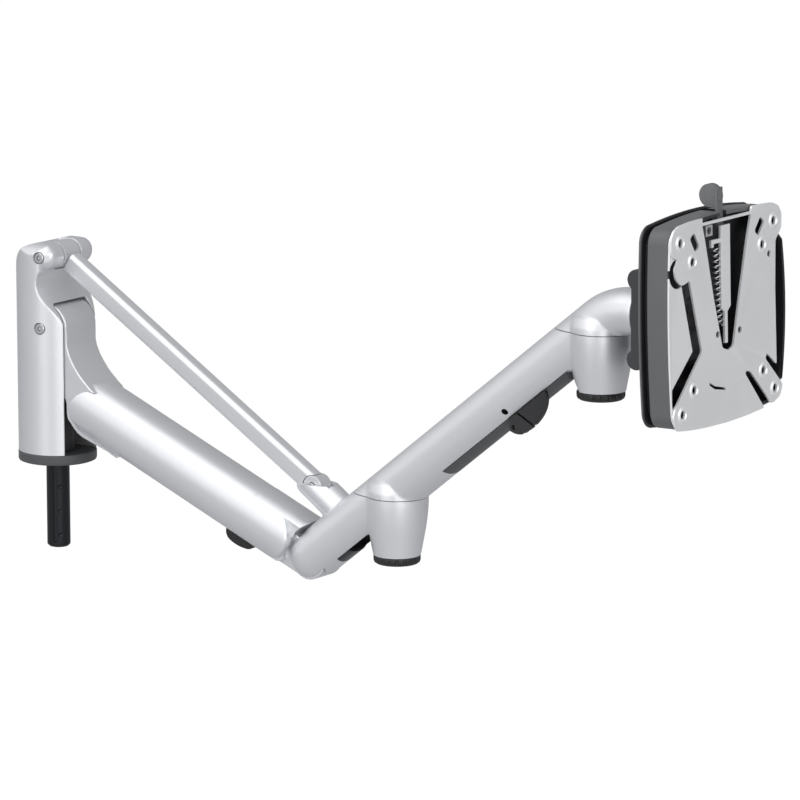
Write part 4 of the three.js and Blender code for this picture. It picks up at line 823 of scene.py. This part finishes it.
def head_outline(inset, steps=14):
    """The barrel-sided square of the head in (y, z), shrunk evenly by an inset."""
    half = HEAD_HALF - inset
    corner = max(HEAD_CORNER - inset * 0.2, 3)
    flat = half - corner
    points = []
    for turn in range(4):
        quarter = math.radians(90 * turn)
        edge = []
        for i in range(2 * steps):
            t = i / (2 * steps)
            edge.append((half + HEAD_BULGES[turn] * 4 * t * (1 - t), flat * (2 * t - 1)))
        edge += arc(flat, flat, corner, CORNER_LEAD, 90 - CORNER_LEAD, steps)
        cos, sin = math.cos(quarter), math.sin(quarter)
        points += [(u * cos - v * sin, u * sin + v * cos) for u, v in edge]
    return [(u, v + HEAD_Z) for u, v in points]


def head_shell(name, steps):
    """A shell lofted through (inset, x) steps of the head's outline."""
    return skin(name, [[(x, u, v) for u, v in head_outline(inset)] for inset, x in steps])


housing = coat("head_moulding", (0.1, 0.101, 0.105), 0.0, 0.4, 0.4, 0.025, worn=0.15)
back_shell = head_shell("head_back_shell", [
    (26, 476.6), (22.5, 476.8), (20, 477.6), (18.2, 479), (17, 481), (16.2, 483.4), (15, 484.8), (13, 485.2),
    (1.4, 485.2), (0.5, 485.4), (0, 486), (0, 486.8), (0.5, 487.4), (1.4, 487.6)])
combine(back_shell, [head_shell("pocket", [(22, 481.6), (22, 495)]), spindle_dowel(470, 500, 6.4)])
on_head(back_shell, "head", "dark_plastic", housing, "housing_back")
upright = lean.inverted()
# Painted shade: the back shell's front rim, down in the groove behind the tray, is coloured black.
paint_shade_black(back_shell, lambda centre, normal: normal.x > 0.5 and (upright @ (centre * MM) / MM).x > 486.9)
tray = head_shell("head_front_tray", [
    (3.6, 487.8), (3.6, 491), (1.2, 491.2), (0.7, 491.5), (0.5, 492.1), (0.5, 504.4), (0.7, 504.9),
    (1.2, 505.1)])
lip = head_shell("lip", [(1, 500), (0.6, 507.2), (1, 507.6)])
lip_side = lifted([(500, -51), (504, -51), (507.6, -46.5), (507.6, 37), (504, 42), (500, 42)])
combine(lip, [side_slab(lip_side, 50, 80)], "INTERSECT")
combine(tray, [lip], "UNION")
combine(tray, [head_shell("hollow", [(3, 495.4), (3, 509)]), block((506.3, 520), (40, 59.3), (60, 230)),
               face_slab(lifted(round_box(26, 26, 6)), 480, 500),
               block((490, 505.5), (-3.6, 3.6), (HEAD_Z + 50, HEAD_Z + 72))])
on_head(tray, "head", "dark_plastic", housing, "housing_shell")


def in_tray_shadow(centre, normal):
    """The groove behind the tray's rim, and the hollow that holds the latch."""
    centre = upright @ (centre * MM) / MM
    spoke = centre - Vector((centre.x, 0, HEAD_Z))
    return (centre.x < 491.1 or normal.dot(spoke) < 0 or (normal.x > 0.9 and centre.x < 498)
            or (normal.x > 0.7 and centre.y > 50))


# Painted shadow: the groove behind the tray's rim and the hollow that holds the latch are coloured black.
paint_shade_black(tray, in_tray_shadow)

# ------------------------------------------------------------------ fixed plate
# A zinc-plated sheet steel frame screwed to the tray, which the screen plate hooks on.
sheet_steel = coat("zinc_sheet_steel", (0.84, 0.845, 0.85), 0.6, 0.42, 0.9, 0.01, shade=0.07)
PLATE_X = 508


frame_window = [(-24, 55), (-47, 24.4), (-36.3, -15), (-58.4, -34.4), (-58.4, -46), (-20, -30), (13, -30),
                (34, -64), (54, -61), (29, -28), (59, -49), (72, -44), (72, 42), (50, 42),
                (46, -24), (12, -22), (29, 55)]
fixed = face_slab(head_outline(0.9), PLATE_X - 2.8, PLATE_X - 1.6, "hook_frame")
combine(fixed, [face_slab(lifted(frame_window), PLATE_X - 6, PLATE_X)])
combine(fixed, [block((PLATE_X - 6, PLATE_X), (-24, 30), (HEAD_Z + 50, HEAD_Z + 70)),
                block((PLATE_X - 6, PLATE_X), (-18.5, 1), (HEAD_Z - 45, HEAD_Z - 32))])
for y, z, r in ((-51, 32.5, 8.8), (-31, 48.4, 7.4), (38.6, 48.6, 7.4), (-8.5, -8.7, 3), (48.5, 30.9, 3)):
    combine(fixed, [spindle_dowel(PLATE_X - 6, PLATE_X, r, y, z)])
LOOK_THROUGH = 3.9
screw_holes = [(y, z) for half in (50, 37.5) for y in (-half, half) for z in (-half, half)]
small_holes = [(45, 30.9), (-11.5, -8.7), (12.3, -9.4)]
combine(fixed, [spindle_dowel(PLATE_X - 6, PLATE_X, 3.6, y + LOOK_THROUGH, z)
                for y, z in screw_holes + small_holes])
on_head(ease(fixed, 0.2, 2), "head", "zinc_steel", sheet_steel, "fixed_plate")

# ------------------------------------------------------------------ screen plate
# The pressed zinc-plated steel plate screwed to a screen's back: eight collared holes on
# the 75 mm and 100 mm grids, and a deep V through which the latch is seen.
plate_outline = [
    (-28, 61.4), (-41.2, 61), (-51.7, 60), (-56.6, 57.8), (-59.4, 53.3), (-59.4, 45.6), (-58.4, 43.6),
    (-52.9, 40.3), (-56.4, 35.5), (-54.8, 29.4), (-49.6, 25.3), (-44.4, 26), (-40.9, 27.4),
    (-28.5, -16.3), (-56.8, -44.6), (-59.3, -50), (-58.4, -54.8), (-55.3, -58.8), (-43.2, -60.2),
    (-25.7, -61.4), (-2.7, -62), (18.9, -61.4), (38.2, -60), (17.6, -36.3), (19, -34.9), (23.4, -36),
    (46.4, -58.8), (50, -58), (55.8, -55.5), (58.6, -50), (58, -48.2), (39.8, -30.8), (41.6, -27.8),
    (52.2, -36.2), (51.9, -19.9), (51.4, 10.2), (52.2, 38.2), (58.9, 44.9), (59.2, 53.5), (55.6, 58.4),
    (49, 60.8), (37.9, 61.4), (26.9, 61.6), (25.6, 57), (21, 42.5), (12.2, 9.9), (5.3, -17.7), (0, -19.6),
    (-6.6, -17.4), (-15.6, 14), (-23.8, 47.5), (-26.6, 57)]


def rounded(points, r):
    """Rounds each corner of an outline, as a punch does."""
    line = []
    for before, here, after in zip([points[-1], *points], points, [*points[1:], points[0]]):
        here = Vector(here)
        legs = [Vector(before) - here, Vector(after) - here]
        cut = min(r, *(leg.length * 0.45 for leg in legs))
        first, last = (here + leg.normalized() * cut for leg in legs)
        for i in range(5):
            t = i / 4
            line.append(tuple(first * (1 - t) ** 2 + here * 2 * t * (1 - t) + last * t * t))
    return line


plate = face_slab(lifted(rounded(plate_outline, 1.6)), PLATE_X - 1.3, PLATE_X, "screen_plate_pressing")
combine(plate, [block((PLATE_X - 1.3, PLATE_X), (-28, 27), (HEAD_Z + 57, HEAD_Z + 58.6))], "UNION")
ease(plate, 0.25, 2)
collars, holes = [], []
for y, z in screw_holes:
    collars.append(turned("collar", [(5, PLATE_X - 0.5), (4.9, PLATE_X + 0.05), (4.1, PLATE_X + 0.7),
                                     (3.7, PLATE_X + 0.8)], (0, y, HEAD_Z + z), ALONG, 64))
    holes.append(turned("hole", [(2.5, PLATE_X - 4), (2.5, PLATE_X), (3.2, PLATE_X + 0.81),
                                 (3.5, PLATE_X + 3)], (0, y, HEAD_Z + z), ALONG, 64))
combine(plate, collars, "UNION")
for y, z in small_holes:
    holes.append(spindle_dowel(PLATE_X - 4, PLATE_X + 3, 2, y, z, 32))
for y, z, turn in ((-35, 48.4, 32), (34.6, 48.6, -40)):
    turn = math.radians(turn)
    along, over = (math.cos(turn), math.sin(turn)), (-math.sin(turn), math.cos(turn))
    slot = [(y + u * along[0] + v * over[0], z + u * along[1] + v * over[1])
            for u, v in round_box(2.8, 5.2, 1.8)]
    holes.append(face_slab(lifted(slot), PLATE_X - 4, PLATE_X + 3))
holes.append(face_slab(lifted([(-21, -35.4), (-15, -38.6), (-3.9, -41.2), (-3.9, -42.6), (-15.4, -40.4),
                               (-21.8, -36.9)]), PLATE_X - 4, PLATE_X + 3))
combine(plate, holes)
on_head(plate, "screen_plate", "zinc_steel", sheet_steel, "vesa_plate")

# ------------------------------------------------------------------ release latch
# A grey coated steel strip that slides behind the screen plate's V. The strip in the V shows zinc, and the
# tab and stem a grey coat made darker as painted shade on the stem. Lifting the round thumb tab on its top
# frees the plate, and a coil spring hooked to its side pulls it back.
LATCH_X = 501.6
# Painted shade: this grey is made darker than the coat to stand in for the shade on the tab's stem.
latch_coat_and_shade = coat("latch_grey_coat_and_painted_shade", (0.17, 0.172, 0.176), 0.5, 0.42, 0.3, 0.01, worn=0.3)
STRIP_X = 505.1
STRIP_THICK = 1.4
STEM_TOP = 75.8
tongue = [(-5, 54.2), (-5, 6), (-1.5, 3), (-1.5, -15.4), (1.5, -15.4), (1.5, 3), (5, 6), (5, 54.2)]
latch = face_slab(lifted(tongue), STRIP_X, STRIP_X + STRIP_THICK, "release_strip")
hook_arm = [(-3.4, 44.4), (-12.6, 44.4), (-12.6, 42.4), (-15, 42.4), (-15, 46.8), (-3.4, 46.8)]
TAB = (497, HEAD_Z + 70.8)
combine(latch, [
    face_slab(lifted(hook_arm), STRIP_X, STRIP_X + STRIP_THICK),
    block((LATCH_X, STRIP_X + STRIP_THICK), (-3, 3), (HEAD_Z + 52.4, HEAD_Z + 54.2)),
    block((LATCH_X, LATCH_X + 1.5), (-3, 3), (HEAD_Z + 52.4, HEAD_Z + STEM_TOP)),
    cross_pin(TAB, -2.2, 2.2, 6.9, 96),
    block((TAB[0], LATCH_X + 1.5), (-2.2, 2.2), (HEAD_Z + 64, HEAD_Z + STEM_TOP))], "UNION")
ease(latch, 0.3, 2)
latch.data.transform(lean)
fit(latch, "latch", "dark_steel", latch_coat_and_shade, "release_lever")
# The strip in the V takes the bright zinc, while the tab and stem keep the coat that is darkened as painted
# shade.
latch.data.materials.append(sheet_steel)
for face in latch.data.polygons:
    if face.center.z < (HEAD_Z + 54.3) * MM and face.center.x > 0.5035:
        face.material_index = 1

COIL_TURNS = 14
COIL_R = 1.9
WIRE_R = 0.42
coil_top = Vector((503.6, -6.8, HEAD_Z + 41))
coil_foot = Vector((503.6, -3.4, HEAD_Z - 5))
coil_axis = coil_foot - coil_top
side = ALONG
other = coil_axis.normalized().cross(side)
rings = []
steps = COIL_TURNS * 20
for i in range(steps + 1):
    turn = 2 * math.pi * i / 20
    outward = side * math.cos(turn) + other * math.sin(turn)
    spot = coil_top + coil_axis * (i / steps) + outward * COIL_R
    square = coil_axis.normalized()
    rings.append([spot + outward * (WIRE_R * u) + square * (WIRE_R * v)
                  for u, v in arc(0, 0, 1, 0, 360, 10)[:-1]])
on_head(skin("return_spring", rings), "head", "bright_steel", zinc_screw, "latch_spring")
NUT = (-14.6, 52.4)
nut_hole = spindle_dowel(490, 510, 2.1, *NUT)
nut = combine(block((501.6, 504.8), (-18.2, -11), (HEAD_Z + 49.2, HEAD_Z + 55.6)), [nut_hole])
nut.name = "square_lock_nut"
on_head(ease(nut, 0.3, 2), "head", "zinc_steel", zinc_screw, "square_nut")
stud_at = (0, NUT[0], HEAD_Z + NUT[1])
stud = turned("nut_stud", [(1.6, 496), (2, 496.4), (2, 503.3), (1.6, 503.7)], stud_at, ALONG, 48)
combine(stud, [turned("socket", [(0.2, 502.4), (1, 502.9), (1, 506)], stud_at, ALONG, 6)])
on_head(stud, "head", "black_steel", black_enamel_and_shade, "latch_screw")

# ------------------------------------------------------------------ floor, light and camera
# A plain pale floor under soft studio light, seen from the screen side of the arm.
FLOOR_Z = -330
floor = slab("floor", [(-30000, -30000), (30000, -30000), (30000, 30000), (-30000, 30000)], ALONG, ACROSS,
             UPWARD, FLOOR_Z - 10, FLOOR_Z)
pale = bpy.data.materials.new("pale_floor")
pale.use_nodes = True
nodes, wires = pale.node_tree.nodes, pale.node_tree.links
nodes["Principled BSDF"].inputs["Base Color"].default_value = (0.5, 0.5, 0.51, 1)
nodes["Principled BSDF"].inputs["Roughness"].default_value = 0.9
glow = nodes.new("ShaderNodeEmission")
glow.inputs["Color"].default_value = (1, 1, 1, 1)
glow.inputs["Strength"].default_value = 1.02
seen = nodes.new("ShaderNodeLightPath")
blend = nodes.new("ShaderNodeMixShader")
wires.new(seen.outputs["Is Camera Ray"], blend.inputs["Fac"])
wires.new(nodes["Principled BSDF"].outputs["BSDF"], blend.inputs[1])
wires.new(glow.outputs["Emission"], blend.inputs[2])
wires.new(blend.outputs["Shader"], nodes["Material Output"].inputs["Surface"])
floor.data.materials.append(pale)
floor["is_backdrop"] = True

world = bpy.data.worlds.new("studio")
world.use_nodes = True
nodes, wires = world.node_tree.nodes, world.node_tree.links
facing = nodes.new("ShaderNodeTexCoord")
parts = nodes.new("ShaderNodeSeparateXYZ")
wires.new(facing.outputs["Generated"], parts.inputs["Vector"])
depth = nodes.new("ShaderNodeMapRange")
depth.inputs["From Min"].default_value = -0.8
depth.inputs["From Max"].default_value = 0.5
depth.inputs["To Min"].default_value = 1.12
depth.inputs["To Max"].default_value = 0.4
wires.new(parts.outputs["Y"], depth.inputs["Value"])
wires.new(depth.outputs["Result"], nodes["Background"].inputs["Strength"])
nodes["Background"].inputs["Color"].default_value = (0.97, 0.985, 1, 1)
bpy.context.scene.world = world


def softbox(name, at, aim, width, height, power):
    lamp = bpy.data.lights.new(name, "AREA")
    lamp.shape = "RECTANGLE"
    lamp.size, lamp.size_y, lamp.energy = width, height, power
    holder = bpy.data.objects.new(name, lamp)
    holder.location = at
    holder.rotation_mode = "QUATERNION"
    holder.rotation_quaternion = (Vector(aim) - Vector(at)).to_track_quat("-Z", "Y")
    bpy.context.scene.collection.objects.link(holder)


middle = (cad_low + cad_high) / 2
softbox("overhead", middle + Vector((-0.2, -0.7, 1.6)), middle, 1.6, 1.6, 8)
softbox("near_left", middle + Vector((-0.1, -2, 0.5)), middle, 0.8, 1.8, 6)
softbox("near_right", middle + Vector((1.4, -0.4, 0.5)), middle + Vector((0.2, 0, 0)), 1.1, 1, 6)
softbox("low_right", middle + Vector((1.5, -1.4, -0.1)), middle + Vector((-0.2, 0, 0)), 0.9, 0.5, 4)

TARGET = Vector((271.9, 0, 70.6)) * MM
AZIMUTH = math.radians(36)
ELEVATION = math.radians(11.47)
DISTANCE = 3.2
PICTURE = 800
FOCAL_IN_PICTURE = 5242
outward = Vector((math.sin(AZIMUTH) * math.cos(ELEVATION), -math.cos(AZIMUTH) * math.cos(ELEVATION),
                  math.sin(ELEVATION)))
lens = bpy.data.cameras.new("camera")
lens.sensor_width = 36
lens.lens = FOCAL_IN_PICTURE / PICTURE * lens.sensor_width
camera = bpy.data.objects.new("camera", lens)
camera.location = TARGET + outward * DISTANCE
camera.rotation_mode = "QUATERNION"
camera.rotation_quaternion = (-outward).to_track_quat("-Z", "Y")
bpy.context.scene.collection.objects.link(camera)
bpy.context.scene.camera = camera
bpy.context.scene.view_settings.view_transform = "Standard"

bpy.context.view_layer.update()
low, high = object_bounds()
